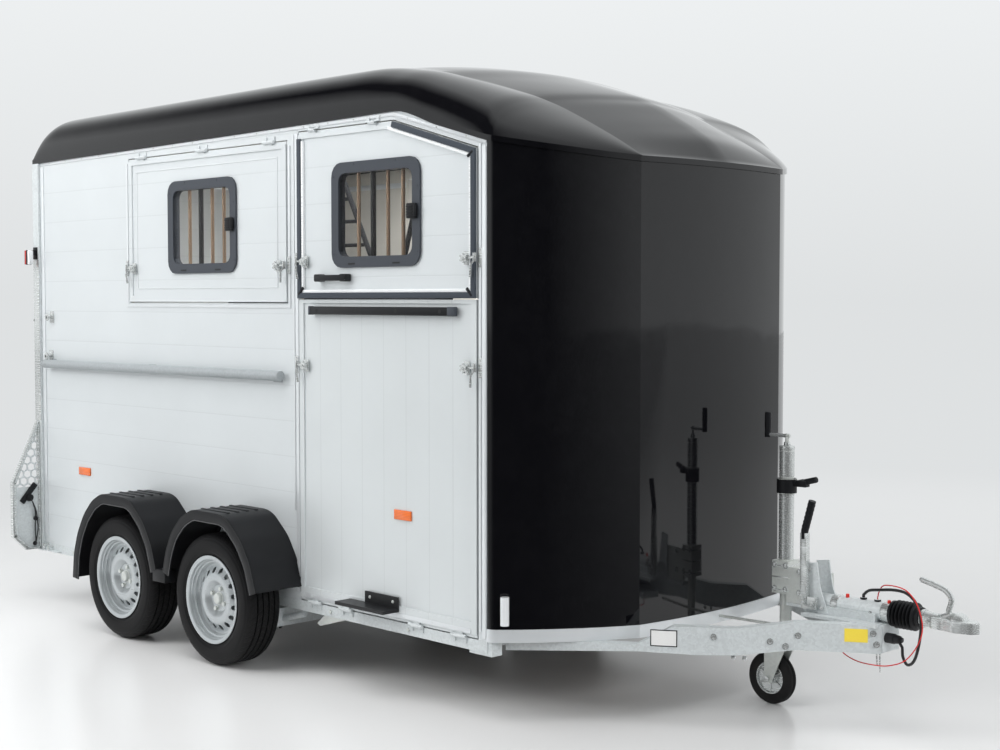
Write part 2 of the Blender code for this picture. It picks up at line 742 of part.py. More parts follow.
def make_roof():
    """The roof shell: side shoulders up to a crease that runs on down the nose."""
    outside = ROOF_WALL + ROOF_FIT
    plan = offset_path(nose_plan(), outside)
    spots = [(eave_x, -(BODY_HALF + outside)) for eave_x, *_ in ROOF_BACK] + plan[:len(ROOF_NOSE)]
    tops = [row[1:] for row in ROOF_BACK] + list(ROOF_NOSE)
    rows = []
    for (x, y), (crease_x, crease_y, crease_z, crown_x, crown_z) in zip(spots, tops):
        eave = Vector((x, y, eave_z(x) + SKIRT))
        rows.append(roof_row(eave, Vector((crease_x, -crease_y, crease_z)), Vector((crown_x, 0.0, crown_z))))
    corner = Vector(plan[len(ROOF_NOSE)])
    front_x = CREASE_X + FRONT_BOW + outside
    last = [Vector((corner.x, corner.y, EAVE_NOSE_Z + SKIRT))] * 5
    for step in (1, 2, 3):
        y = corner.y * (1 - step / 3)
        bow = 1 - (y / corner.y) ** 2
        last.append(Vector((corner.x + (front_x - corner.x) * bow, y, EAVE_NOSE_Z + SKIRT)))
    rows.append(last + [Vector((p.x, -p.y, p.z)) for p in reversed(last[:-1])])
    shape = loft(rows)
    rim = [edge for edge in shape.edges if edge.is_boundary]
    drop = bmesh.ops.extrude_edge_only(shape, edges=rim)
    moved = [v for v in drop["geom"] if isinstance(v, bmesh.types.BMVert)]
    bmesh.ops.translate(shape, verts=moved, vec=(0, 0, -SKIRT))
    bmesh.ops.recalc_face_normals(shape, faces=shape.faces)
    if sum(face.normal.z for face in shape.faces) < 0:
        bmesh.ops.reverse_faces(shape, faces=shape.faces)
    mesh = bpy.data.meshes.new("roof")
    shape.to_mesh(mesh)
    shape.free()
    made = part("roof_shell", [mesh], "black_gelcoat", smooth=28)
    wall = made.modifiers.new("Wall", "SOLIDIFY")
    wall.thickness = ROOF_WALL
    wall.offset = -1.0
    wall.use_even_offset = True
    return made


def plan_ring(outer, wall, low, high):
    """A wall along the nose's plan, from low to high, outer outside the nose by its first number."""
    outside = nose_plan(outer)
    inside = nose_plan(outer - wall)
    return plate([outside + list(reversed(inside))], "Z", low, high)


def make_nose():
    """The black nose shell and the bright trim round its foot."""
    mesh = plan_ring(0.0, NOSE_WALL, BASE_Z + BITE, EAVE_NOSE_Z)
    for point in mesh.vertices:
        point.co.x = max(point.co.x, POST_X + GAP)
        if point.co.z > 1.0:
            point.co.z = eave_z(point.co.x) + TUCK
    part("nose_shell", [mesh], "black_gelcoat", smooth=30)
    trim = plan_ring(TRIM_WALL + GAP, TRIM_WALL, BASE_Z, TRIM_TOP_Z)
    for point in trim.vertices:
        point.co.x = max(point.co.x, POST_X + GAP)
    part("nose_trim", [trim], "edge_aluminium")


# Chassis


def make_chassis(exit_leaves):
    """The galvanised floor frame: side rails, spines, cross members and front corner feet."""
    top = BASE_Z - GAP
    rails = []
    for side in (-1, 1):
        out = side * BODY_HALF
        rails.append(box((0.0, POST_X), (out, out - side * RAIL_WIDTH), (RAIL_BOTTOM_Z, top)))
        spine = side * SPINE_Y
        rails.append(box((0.0, POST_X), (spine - 0.02, spine + 0.02), (SPINE_BOTTOM_Z, top)))
        foot_y = (out - side * 0.004, out - side * 0.060)
        foot = box((3.300, POST_X + 0.020), foot_y, (RAIL_BOTTOM_Z - 0.012, top - 0.002))
        rails.append(foot)
    inside = BODY_HALF - BITE
    for x in CROSS_X:
        cross = (x - CROSS_WIDTH / 2, x + CROSS_WIDTH / 2)
        rails.append(box(cross, (-inside, inside), (RAIL_BOTTOM_Z + 0.003, top - 0.001)))
    return part("chassis_frame", rails + exit_leaves, "galvanised")


def make_drawbar():
    """Two beams that close towards the coupling, with their cross plates."""
    stretch = math.hypot(1.0, BEAM_SLOPE)
    under = BASE_Z - 2 * GAP
    nose_x = CREASE_X + FRONT_BOW + 0.012
    profile = [
        (BEAM_REAR_X, 0.262), (3.830, 0.283), (4.020, BEAM_LOW[0]), (BEAM_CRANK_X[0], BEAM_LOW[0] + 0.006),
        (BEAM_CRANK_X[1], BEAM_HIGH[0]), (BEAM_FRONT_X, BEAM_HIGH[0]), (BEAM_FRONT_X, BEAM_HIGH[1]),
        (BEAM_CRANK_X[1], BEAM_HIGH[1]), (BEAM_CRANK_X[0], BEAM_LOW[1] + 0.003), (nose_x + 0.13, BEAM_LOW[1]),
        (nose_x + 0.015, under), (BEAM_REAR_X, under)]
    flat = [((x - BEAM_FRONT_X) * stretch, z) for x, z in profile]
    pieces = []
    for side in (-1, 1):
        mesh = plate([flat], "Y", *sorted((0.0, -side * BEAM_WALL)))
        turn = Matrix.Rotation(-side * math.atan(BEAM_SLOPE), 4, "Z")
        mesh.transform(Matrix.Translation((BEAM_FRONT_X, side * BEAM_FRONT_Y, 0.0)) @ turn)
        pieces.append(mesh)
    pieces.append(box((4.360, BEAM_FRONT_X - 0.006), (-0.060, 0.060), (BEAM_HIGH[0] + 0.004, BEAM_HIGH[0] + 0.030)))
    plate_top = HITCH_Z - HITCH_R - GAP
    pieces.append(box((4.250, BEAM_FRONT_X - 0.010), (-0.085, 0.085), (BEAM_HIGH[1] - 0.008, plate_top)))
    pieces.append(box(HEAD_PLATE_X, (-0.057, 0.057), (BEAM_HIGH[0] + 0.003, plate_top - 0.001)))
    pieces.append(box((JACK_X + 0.034, 4.260), (JACK_Y - 0.045, JACK_Y + 0.045), (BEAM_HIGH[1] - 0.008, plate_top)))
    return part("drawbar", pieces, "galvanised")


def make_axle(index):
    """A torsion axle: beam, trailing arms, dampers, hub drums and stubs."""
    name = ("rear_axle", "front_axle")[index]
    hub_x = AXLE_X[index]
    hub = TYRE_R
    beam_x = hub_x + ARM
    top = SPINE_BOTTOM_Z - GAP
    half = BEAM_SIDE / 2
    reach = BODY_HALF + 0.025
    pieces = [box((beam_x - half, beam_x + half), (-reach, reach), (top - BEAM_SIDE, top))]
    disc_y = WHEEL_Y + RIM_HALF - DISC_IN
    for side in (-1, 1):
        arm = plate(
            [[(beam_x + 0.035, top - 0.070), (beam_x + 0.035, top - 0.010), (hub_x + 0.02, hub + 0.035),
              (hub_x - 0.035, hub + 0.025), (hub_x - 0.035, hub - 0.025), (hub_x + 0.02, hub - 0.035)]],
            "Y", *sorted((side * (reach - 0.020), side * (reach + 0.010))))
        pieces.append(arm)
        pieces.append(rod((hub_x, side * (reach - 0.006), hub), (hub_x, side * (disc_y - 0.0043), hub), 0.028, 14))
        damper_y = side * (BODY_HALF - RAIL_WIDTH / 2)
        low_end = (beam_x - 0.010, damper_y, top - 0.062)
        high_end = (beam_x + 0.190, damper_y, RAIL_BOTTOM_Z - DAMPER_R - 0.004)
        pieces.append(rod(low_end, high_end, DAMPER_R, 10))
        pieces.append(rod((hub_x, side * 0.972, hub), (hub_x, side * (disc_y - 0.016), hub), 0.112, 24))
    return part(name, pieces, "galvanised", smooth=30)


def tyre_profile():
    """Radius and place across the tyre, outer side first."""
    half = TYRE_WIDTH / 2
    seat = RIM_SEAT_R + GAP
    shoulder = TYRE_R - 0.010
    bead = RIM_HALF - 0.009
    return [
        (TYRE_R - 0.001, half - 0.030), (TYRE_R - 0.001, -half + 0.030), (shoulder, -half + 0.012),
        (0.250, -half), (0.218, -half + 0.003), (RIM_FLANGE_R + 0.001, -bead), (seat, -bead + 0.001),
        (seat, bead - 0.001), (RIM_FLANGE_R + 0.001, bead), (0.218, half - 0.003), (0.250, half),
        (shoulder, half - 0.012)]


def rim_profile():
    """Radius and place across the rim: a one-piece section, outboard side up."""
    flange, seat, half = RIM_FLANGE_R, RIM_SEAT_R, RIM_HALF
    disc = half - DISC_IN
    wall = 0.004
    return [
        (0.0, disc + 0.024), (0.024, disc + 0.024), (0.030, disc + 0.004), (0.058, disc + 0.003),
        (0.084, disc + 0.026), (0.108, disc + 0.026), (0.140, disc + 0.003), (0.158, disc + 0.004),
        (seat - wall, half - 0.008), (flange, half),
        (flange, half - 0.005), (seat, half - 0.0085), (seat, -half + 0.0085), (flange, -half + 0.005),
        (flange, -half), (seat - wall, -half + 0.008), (seat - wall, disc - 0.010),
        (0.140, disc - wall), (0.108, disc + 0.022), (0.084, disc + 0.022), (0.058, disc - 0.004), (0.0, disc - 0.004)]


def make_wheel(index, side):
    """A road wheel: its tyre and its pressed steel rim with a ring of slots."""
    name = f"{('rear', 'front')[index]}_{'right' if side < 0 else 'left'}"
    hub = (AXLE_X[index], side * WHEEL_Y, TYRE_R)
    pivot = empty(f"{name}_wheel_hub", hub)
    flip = 1 if side > 0 else -1
    tyre = turned(tyre_profile(), hub, "Y", WHEEL_STEPS)
    part(f"{name}_tyre", [tyre], "tyre_rubber", pivot=pivot, smooth=35)
    profile = [(r, a * flip) for r, a in rim_profile()]
    if flip < 0:
        profile = list(reversed(profile))
    rim = turned(profile, hub, "Y", WHEEL_STEPS)
    slots = []
    for i in range(HOLES):
        angle = 2 * math.pi * (i + 0.5) / HOLES
        out = Vector((math.cos(angle), 0.0, math.sin(angle)))
        middle = Vector(hub) + out * 0.127
        slots.append(rod(middle - Vector((0, 0.10, 0)), middle + Vector((0, 0.10, 0)), 0.0110, 4))
    part(f"{name}_rim", [rim], "wheel_silver", slots, pivot=pivot, smooth=30)


# One arch's outline on the hub's plane, rear to front: distances from the hub
ARCH = (
    (-0.386, -0.047), (-0.374, 0.070), (-0.335, 0.180), (-0.274, 0.276), (-0.196, 0.350), (-0.110, 0.391),
    (0.110, 0.391), (0.196, 0.354), (0.270, 0.286), (0.322, 0.190), (0.350, 0.070), (0.352, -0.040))


def make_mudguards(side):
    """Both arches of a side in one moulding, with the bracket between them."""
    name = "right_mudguards" if side < 0 else "left_mudguards"
    inner = side * (BODY_HALF + GAP)
    outer = side * GUARD_OUT_Y
    pieces = []
    for hub_x in AXLE_X:
        path = [(hub_x + a, TYRE_R + b) for a, b in ARCH]
        under = offset_path(path, GUARD_WALL)
        pieces.append(plate([path + list(reversed(under))], "Y", *sorted((inner, outer))))
        lip = offset_path(path, GUARD_LIP)
        pieces.append(plate([path + list(reversed(lip))], "Y", *sorted((outer, outer - side * GUARD_WALL))))
    middle = sum(AXLE_X) / 2
    pieces.append(box(
        (middle - 0.046, middle + 0.046), (outer - side * 0.001, outer - side * 0.060),
        (TYRE_R - 0.020, TYRE_R + 0.030)))
    return part(name, pieces, "black_plastic")


# Rear end


def make_rear():
    """The rear portal with its ramp below and its flap above."""
    sill_leaves = make_tail_ramp()
    head_leaves = make_tail_flap()
    pieces = [box((TAIL_OUT_X, -GAP), (-PORTAL_OUT, -PORTAL_IN), (RAIL_BOTTOM_Z, EAVE_REAR_Z - GAP))]
    pieces.append(box((TAIL_OUT_X, -GAP), (PORTAL_IN, PORTAL_OUT), (RAIL_BOTTOM_Z, EAVE_REAR_Z - GAP)))
    span = (-PORTAL_IN - BITE, PORTAL_IN + BITE)
    pieces.append(box((TAIL_X, -0.004), span, (RAIL_BOTTOM_Z + 0.002, SILL_TOP_Z)))
    pieces.append(box((TAIL_X, -0.004), span, (TAIL_FLAP_Z[1] + CLEAR, EAVE_REAR_Z)))
    return part("rear_portal", pieces + sill_leaves + head_leaves, "galvanised")


def make_tail_ramp():
    x = TAIL_X - KNUCKLE_R - 0.0005
    line = (x, 0.0, TAIL_RAMP_Z[0] - CLEAR / 2)
    moving, fixed = hinge((0, 1, 0), line, [-0.70, -0.25, 0.25, 0.70], (-1, 0, 0), (0, 0, 1))
    pivot = empty("rear_ramp_hinge", line)
    half = PORTAL_IN - CLEAR
    panel = box((TAIL_X, TAIL_X + WALL), (-half, half), TAIL_RAMP_Z)
    part("rear_ramp", [panel] + moving, "plank_aluminium", pivot=pivot)
    return fixed


def make_tail_flap():
    x = TAIL_X - KNUCKLE_R - 0.0005
    line = (x, 0.0, TAIL_FLAP_Z[1] + CLEAR / 2)
    moving, fixed = hinge((0, 1, 0), line, [-0.60, 0.0, 0.60], (-1, 0, 0), (0, 0, -1))
    pivot = empty("rear_flap_hinge", line)
    half = PORTAL_IN - CLEAR
    panel = box((TAIL_X, TAIL_X + WALL), (-half, half), TAIL_FLAP_Z)
    part("rear_flap", [panel] + moving, "plank_aluminium", pivot=pivot)
    return fixed


def make_wing(side):
    """The perforated wing beside the rear posts that carries a tail lamp."""
    name = "right_wing" if side < 0 else "left_wing"
    y_in, y_out = PORTAL_OUT + GAP, WING_OUT_Y
    z0, z1, z2, z3 = WING_Z
    outline = [(y_in, z0), (y_out - 0.075, z0), (y_out, z1), (y_out, z2), (y_in + 0.012, z3), (y_in, z3)]
    edge = 0.016
    inner = [(y_in + edge, z0 + edge), (y_out - 0.080, z0 + edge), (y_out - edge, z1 + 0.008),
             (y_out - edge, z2 - 0.006), (y_in + edge, z3 - 0.050)]
    holes = []
    row_z = z2 - 0.020
    row = 0
    pitch = HEX * math.sqrt(3) / 2 + HEX_WEB
    while row_z < z3 - 0.10:
        y = y_in + edge + HEX / 2 + (pitch / 2 if row % 2 else 0.0)
        limit = y_out - edge - (row_z - z2) / (z3 - z2) * (y_out - y_in) - HEX * 0.75
        while y < limit:
            holes.append([
                (y + HEX / 2 * math.sin(math.radians(60 * k)), row_z + HEX / 2 * math.cos(math.radians(60 * k)))
                for k in range(6)])
            y += pitch
        row_z += pitch * math.sqrt(3) / 2
        row += 1
    flip = [[(side * a, b) for a, b in loop] for loop in [outline] + holes]
    sheet = plate(flip, "X", -0.032, -0.029)
    ring = [[(side * a, b) for a, b in loop] for loop in (outline, inner)]
    frame = plate(ring, "X", -0.044, -0.018)
    part(name, [sheet, frame], "galvanised")
    lamp = box((-0.064, -0.0445), (side * 0.952, side * 1.080), (0.420, 0.600))
    part("right_tail_lamp" if side < 0 else "left_tail_lamp", [lamp], "lamp_red")


# Small fixed pieces


def make_guard_tube(side):
    """The galvanised tube along the wall that stops a hoof or a gate from marking it."""
    name = "right_guard_tube" if side < 0 else "left_guard_tube"
    y = side * (BODY_HALF + 0.032)
    z = 1.272
    pieces = [rod((0.020, y, z), (2.150, y, z + 0.008), 0.022, 16)]
    for x in (0.060, 1.080, 2.090):
        pieces.append(rod((x, side * (BODY_HALF + GAP), z + 0.002), (x, y, z + 0.002), 0.012, 10))
    return part(name, pieces, "galvanised", smooth=30)


def make_side_lamp(side):
    """The marker lamp on its arm at the rear post."""
    name = "right_side_lamp" if side < 0 else "left_side_lamp"
    face = side * (PORTAL_OUT + GAP)
    arm = box((-0.050, -0.020), (face, face + side * 0.030), (1.846, 1.872))
    lens = box((-0.062, -0.008), (face + side * 0.026, face + side * 0.052), (1.796, 1.872))
    return part(name, [arm, lens], "lamp_clear")


def make_front_lamp(side):
    """The white marker lamp on the nose's foot."""
    name = "right_front_lamp" if side < 0 else "left_front_lamp"
    plan = nose_plan(GAP)
    near, far = Vector(plan[2]), Vector(plan[3])
    foot = near.lerp(far, 0.2)
    along = far - near
    out = Vector((along.y, -along.x)).normalized()
    if out.x < 0:
        out = -out
    centre = foot + out * 0.030
    ends = [(centre.x, -side * centre.y, z) for z in (0.382, 0.490)]
    lens = rod(*ends, 0.017, 14)
    arm = rod((foot.x, -side * foot.y, 0.400), (centre.x, -side * centre.y, 0.400), 0.009, 10)
    return part(name, [lens, arm], "lamp_clear", smooth=30)


# Tubes between the horses' heads, above the board: x and z of both ends, radius
GRILLE_TUBES = (
    (1.000, 1.744, 1.000, 2.247, 0.0140), (0.993, 2.228, 1.414, 2.228, 0.0126), (1.396, 2.243, 1.672, 1.742, 0.0133),
    (1.852, 1.741, 2.033, 2.275, 0.0137), (2.018, 2.257, 2.177, 2.257, 0.0123),
    (0.995, 2.120, 1.461, 2.120, 0.0095), (0.995, 2.005, 1.525, 2.005, 0.0095), (0.995, 1.885, 1.591, 1.885, 0.0095))


def make_partition():
    """The middle partition with its posts, breast bars and breeching bars."""
    floor = BASE_Z + FLOOR + GAP
    side = BODY_HALF - WALL - GAP
    pieces = [box((0.450, 2.170), (-0.014, 0.014), (0.950, 1.760))]
    for x, top in ((2.180, 2.300), (0.440, 1.760)):
        pieces.append(box((x - 0.022, x + 0.022), (-0.022, 0.022), (floor, top)))
    pieces.append(rod((2.180, -side, 1.150), (2.180, side, 1.150), 0.021, 12))
    pieces.append(rod((0.440, -side, 1.000), (0.440, side, 1.000), 0.021, 12))
    for x, z, end_x, end_z, radius in GRILLE_TUBES:
        pieces.append(rod((x, 0, z), (end_x, 0, end_z), radius, 10))
    return part("partition", pieces, "black_plastic")


# Hitch and jack


def make_hitch():
    """The overrun tube, bellows, coupling head and brake lever."""
    back, front = HITCH_X
    base = HITCH_Z - HITCH_R
    pieces = [rod((back + BITE, 0, HITCH_Z), (front, 0, HITCH_Z), HITCH_R - BITE / 2, 20)]
    pieces.append(box((back, 4.545), (-HITCH_HALF, HITCH_HALF), (base, base + 0.030)))
    web = [(4.236, base + 0.001), (4.345, base + 0.001), (4.308, 0.520), (4.292, 0.618), (4.236, 0.610)]
    for side in (-1, 1):
        web_faces = (side * (HITCH_HALF - BITE), side * (HITCH_HALF + 0.005))
        pieces.append(plate([web], "Y", *sorted(web_faces)))
    for x in GLAND_X:
        pieces.append(rod((x, 0, HITCH_Z + 0.01), (x, 0, GLAND_Z), GLAND_R, 12))
    part("overrun_housing", pieces, "galvanised", smooth=30)
    low, high = BELLOWS_R
    start, end = BELLOWS_X
    folds = 5
    profile = [(0.0, end)]
    for i in range(folds):
        a = end - (end - start) * i / folds
        b = end - (end - start) * (i + 0.5) / folds
        profile += [(low, a - (0.0 if i else 0.0001)), (high, b)]
    profile += [(low, start), (0.0, start)]
    part("bellows", [turned([(r, a) for r, a in profile], (0, 0, HITCH_Z), "X", 20)], "black_plastic", smooth=60)
    tail_x = BELLOWS_X[1] + GAP
    neck = rod((tail_x, 0, HITCH_Z), (4.790, 0, HITCH_Z), 0.030, 16, 0.026)
    cap = turned(
        [(0.0, 0.040), (0.020, 0.037), (0.033, 0.026), (0.0405, 0.006), (0.0415, -0.027), (0.0, -0.027)],
        (BALL_X, 0, HITCH_Z), "Z", 24)
    outline = [(4.760, 0.030), (4.815, 0.038), (4.880, 0.042), (4.925, 0.030), (NOSE_TIP_X, 0.0)]
    loop = [(x, -y) for x, y in outline[:-1]] + [outline[-1]] + [(x, y) for x, y in reversed(outline[:-1])]
    dome = plate([loop], "Z", HITCH_Z - 0.026, HITCH_Z + 0.016)
    socket = turned(
        [(0.0, 0.030), (BALL_R, 0.006), (BALL_R, -0.060), (0.0, -0.060)], (BALL_X, 0, HITCH_Z - 0.020), "Z", 20)
    grip = tube(
        [(4.818, 0, HITCH_Z + 0.010), (4.820, 0, 0.505), (4.830, 0, 0.545), (4.806, 0, 0.574), (4.760, 0, 0.590),
         (4.711, 0, 0.602)], 0.0105, 2)
    part("coupling_head", [neck, dome, cap, grip], "zinc_plate", [socket], smooth=30)
    lever_y = -(HITCH_HALF + 0.005 + GAP + 0.012)
    lever = tube(
        [(4.250, lever_y, 0.470), (4.247, lever_y, 0.676), (4.246, lever_y, 0.735), (4.262, lever_y, 0.790),
         (4.277, lever_y, 0.845)], 0.0115, 2)
    foot = box((4.238, 4.300), (lever_y - 0.007, lever_y + 0.012), (base + 0.014, base + 0.060))
    part("brake_lever", [foot, lever], "black_plastic")


def make_jack():
    """The jack: clamped tube with its crank, sliding inner tube, swivelling fork and wheel."""
    x, y = JACK_X, JACK_Y
    shelf = HITCH_Z - HITCH_R
    tube_low = 0.575
    bracket_low = 0.455
    outer = rod((x, y, tube_low), (x, y, JACK_TOP_Z), JACK_OUT_R, 20)
    bracket = box((x - 0.038, x + 0.038), (y - 0.040, y + 0.040), (bracket_low, tube_low + 0.010))
    arm = box((x + 0.030, 4.300), (y - 0.040, y - 0.028), (shelf, tube_low - 0.010))
    collar = rod((x, y, 0.850), (x, y, 0.908), JACK_OUT_R + 0.010, 20)
    clamp = rod((x + 0.032, y, 0.888), (x + 0.138, y, 0.914), 0.011, 10)
    arm_z = JACK_TOP_Z + 0.040
    stem = rod((x, y, JACK_TOP_Z - 0.012), (x, y, arm_z + 0.009), 0.0080, 10)
    crank = rod((x + 0.012, y, arm_z), (x - 0.099, y, arm_z), 0.0068, 10)
    grip = rod((x - 0.092, y, arm_z - 0.010), (x - 0.092, y, arm_z + 0.088), 0.012, 12)
    bore = rod((x, y, shelf - 0.05), (x, y, JACK_TOP_Z - 0.020), JACK_IN_R + 0.0008, 20)
    part("jack_body", [outer, bracket, arm, collar, clamp, stem, crank, grip], "zinc_plate", [bore], smooth=30)
    slider = empty("jack_slider", (x, y, FORK_TOP_Z))
    inner = rod((x, y, FORK_TOP_Z + GAP), (x, y, JACK_TOP_Z - 0.190), JACK_IN_R, 20)
    part("jack_inner_tube", [inner], "zinc_plate", pivot=slider, smooth=30)
    swivel = empty("jack_swivel", (x, y, FORK_TOP_Z), slider)
    axle_x = x - JACK_TRAIL
    cheek_in = 0.029
    cheek_out = 0.034
    fork = [box((axle_x - 0.020, x + 0.030), (y - cheek_out, y + cheek_out), (FORK_TOP_Z - 0.008, FORK_TOP_Z))]
    for side in (-1, 1):
        outline = [
            (axle_x - 0.016, JACK_WHEEL_R - 0.016), (axle_x + 0.016, JACK_WHEEL_R - 0.016),
            (x + 0.028, FORK_TOP_Z - 0.004), (axle_x - 0.018, FORK_TOP_Z - 0.004)]
        fork.append(plate([outline], "Y", *sorted((y + side * cheek_in, y + side * cheek_out))))
    pin = cheek_out + 0.006
    fork.append(rod((axle_x, y - pin, JACK_WHEEL_R), (axle_x, y + pin, JACK_WHEEL_R), 0.008, 12))
    part("jack_fork", fork, "zinc_plate", pivot=swivel, smooth=30)
    roller = empty("jack_wheel_hub", (axle_x, y, JACK_WHEEL_R), swivel)
    half = 0.022
    profile = [
        (JACK_WHEEL_R, half - 0.010), (JACK_WHEEL_R, -half + 0.010), (JACK_WHEEL_R - 0.012, -half), (0.062, -half),
        (0.056, -half + 0.010), (0.024, -half + 0.010), (0.020, -half), (0.0085, -half), (0.0085, half),
        (0.020, half), (0.024, half - 0.010), (0.056, half - 0.010), (0.062, half), (JACK_WHEEL_R - 0.012, half)]
    wheel = turned(profile, (axle_x, y, JACK_WHEEL_R), "Y", 24)
    part("jack_wheel", [wheel], "black_plastic", pivot=roller, smooth=30)


def smooth_route(points, steps=4):
    """Points along a smooth curve through the given ones, straight at both ends."""
    spots = [Vector(p) for p in points[1:-1]]
    ends = [spots[0] * 2 - spots[1]] + spots + [spots[-1] * 2 - spots[-2]]
    route = []
    for a, b, c, d in zip(ends, ends[1:], ends[2:], ends[3:]):
        for step in range(steps):
            t = step / steps
            route.append(
                b + (c - a) * t / 2 + (a * 2 - b * 5 + c * 4 - d) * t * t / 2
                + (b * 3 - a - c * 3 + d) * t ** 3 / 2)
    return [points[0]] + [tuple(p) for p in route] + [tuple(spots[-1]), points[-1]]


def make_cables():
    """The lighting cable with its plug, and the thin red cable that works the brake."""
    plug = rod(*PLUG, PLUG_R, 16)
    part("electric_cable", [tube(smooth_route(ELECTRIC_ROUTE, 2), ELECTRIC_R, 2), plug], "cable_black", smooth=50)
    part("breakaway_cable", [tube(smooth_route(BREAKAWAY_ROUTE), BREAKAWAY_R, 2)], "cable_red", smooth=50)


def build():
    make_materials()
    make_floor()
    right_leaves = make_side_flap(-1) + make_exit_flap()
    left_leaves = make_side_flap(1) + make_groom_door()
    rail_leaves = make_exit_ramp()
    make_wall(-1, right_leaves)
    make_wall(1, left_leaves)
    make_roof()
    make_nose()
    make_rear()
    make_chassis(rail_leaves)
    make_drawbar()
    for index in (0, 1):
        make_axle(index)
        for side in (-1, 1):
            make_wheel(index, side)
    for side in (-1, 1):
        make_mudguards(side)
        make_wing(side)
        make_guard_tube(side)
        make_side_lamp(side)
        make_front_lamp(side)
    make_partition()
    make_hitch()
    make_jack()
    make_cables()


build()
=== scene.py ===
"""Dresses the two-horse trailer: its finishes, fittings, wheels and studio."""

import json
import logging
import math
from dataclasses import dataclass
from enum import Enum
from typing import Sequence

import bmesh
import bpy
from mathutils import Matrix, Vector


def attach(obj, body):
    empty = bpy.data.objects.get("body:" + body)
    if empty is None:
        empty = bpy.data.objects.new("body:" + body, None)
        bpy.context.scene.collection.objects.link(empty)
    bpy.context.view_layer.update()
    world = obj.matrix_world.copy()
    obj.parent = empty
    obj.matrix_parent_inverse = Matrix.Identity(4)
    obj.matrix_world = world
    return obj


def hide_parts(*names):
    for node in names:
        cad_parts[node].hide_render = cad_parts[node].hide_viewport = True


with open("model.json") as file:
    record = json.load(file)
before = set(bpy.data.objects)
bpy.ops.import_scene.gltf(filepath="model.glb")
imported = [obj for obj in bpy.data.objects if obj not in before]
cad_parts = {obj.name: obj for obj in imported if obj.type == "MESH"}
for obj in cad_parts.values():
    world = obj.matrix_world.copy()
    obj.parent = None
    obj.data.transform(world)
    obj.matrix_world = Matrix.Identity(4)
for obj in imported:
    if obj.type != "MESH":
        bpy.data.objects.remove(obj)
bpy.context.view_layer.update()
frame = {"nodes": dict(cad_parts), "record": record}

logging.basicConfig(level=logging.INFO, format="%(message)s")
LOG = logging.getLogger("trailer")

Shape = bmesh.types.BMesh
Socket = bpy.types.NodeSocket
Spot = tuple[float, float]
Point = tuple[float, float, float]
Colour = tuple[float, float, float]

MIDDLE_X = (4.944 - 0.07) / 2
WALL_Y = 0.92
WHEEL_RADIUS = 0.292
AXLES_X = {"rear": 1.117, "front": 1.89}
DRAWBAR_Z = 0.462
BEAM_RUN = Vector((-0.84227, -0.53905, 0.0))
BEAM_FACE = Vector((0.53905, -0.84227, 0.0))
COAT_ROUGHNESS = 0.03
DUST_COLOUR = (0.42, 0.38, 0.33)
PANE_IOR = 1.16
MESH_RATE = 1600.0


class Side(Enum):
    """The two sides of the trailer, as the sign of Y."""

    RIGHT = -1
    LEFT = 1

    @property
    def word(self) -> str:
        """The side's name as it stands in the frame's names."""
        return self.name.lower()


class Axis(Enum):
    """The axis that a turned piece lies along: the way its radius starts and its own way."""

    X = (Vector((0, 0, 1)), Vector((1, 0, 0)))
    Y = (Vector((0, 0, 1)), Vector((0, 1, 0)))
    Z = (Vector((1, 0, 0)), Vector((0, 0, 1)))


def at(x: float, y: float, z: float) -> Vector:
    """A place in the trailer's own measure, x from the rear edge of the walls."""
    return Vector((x - MIDDLE_X, y, z))


# Shader tools


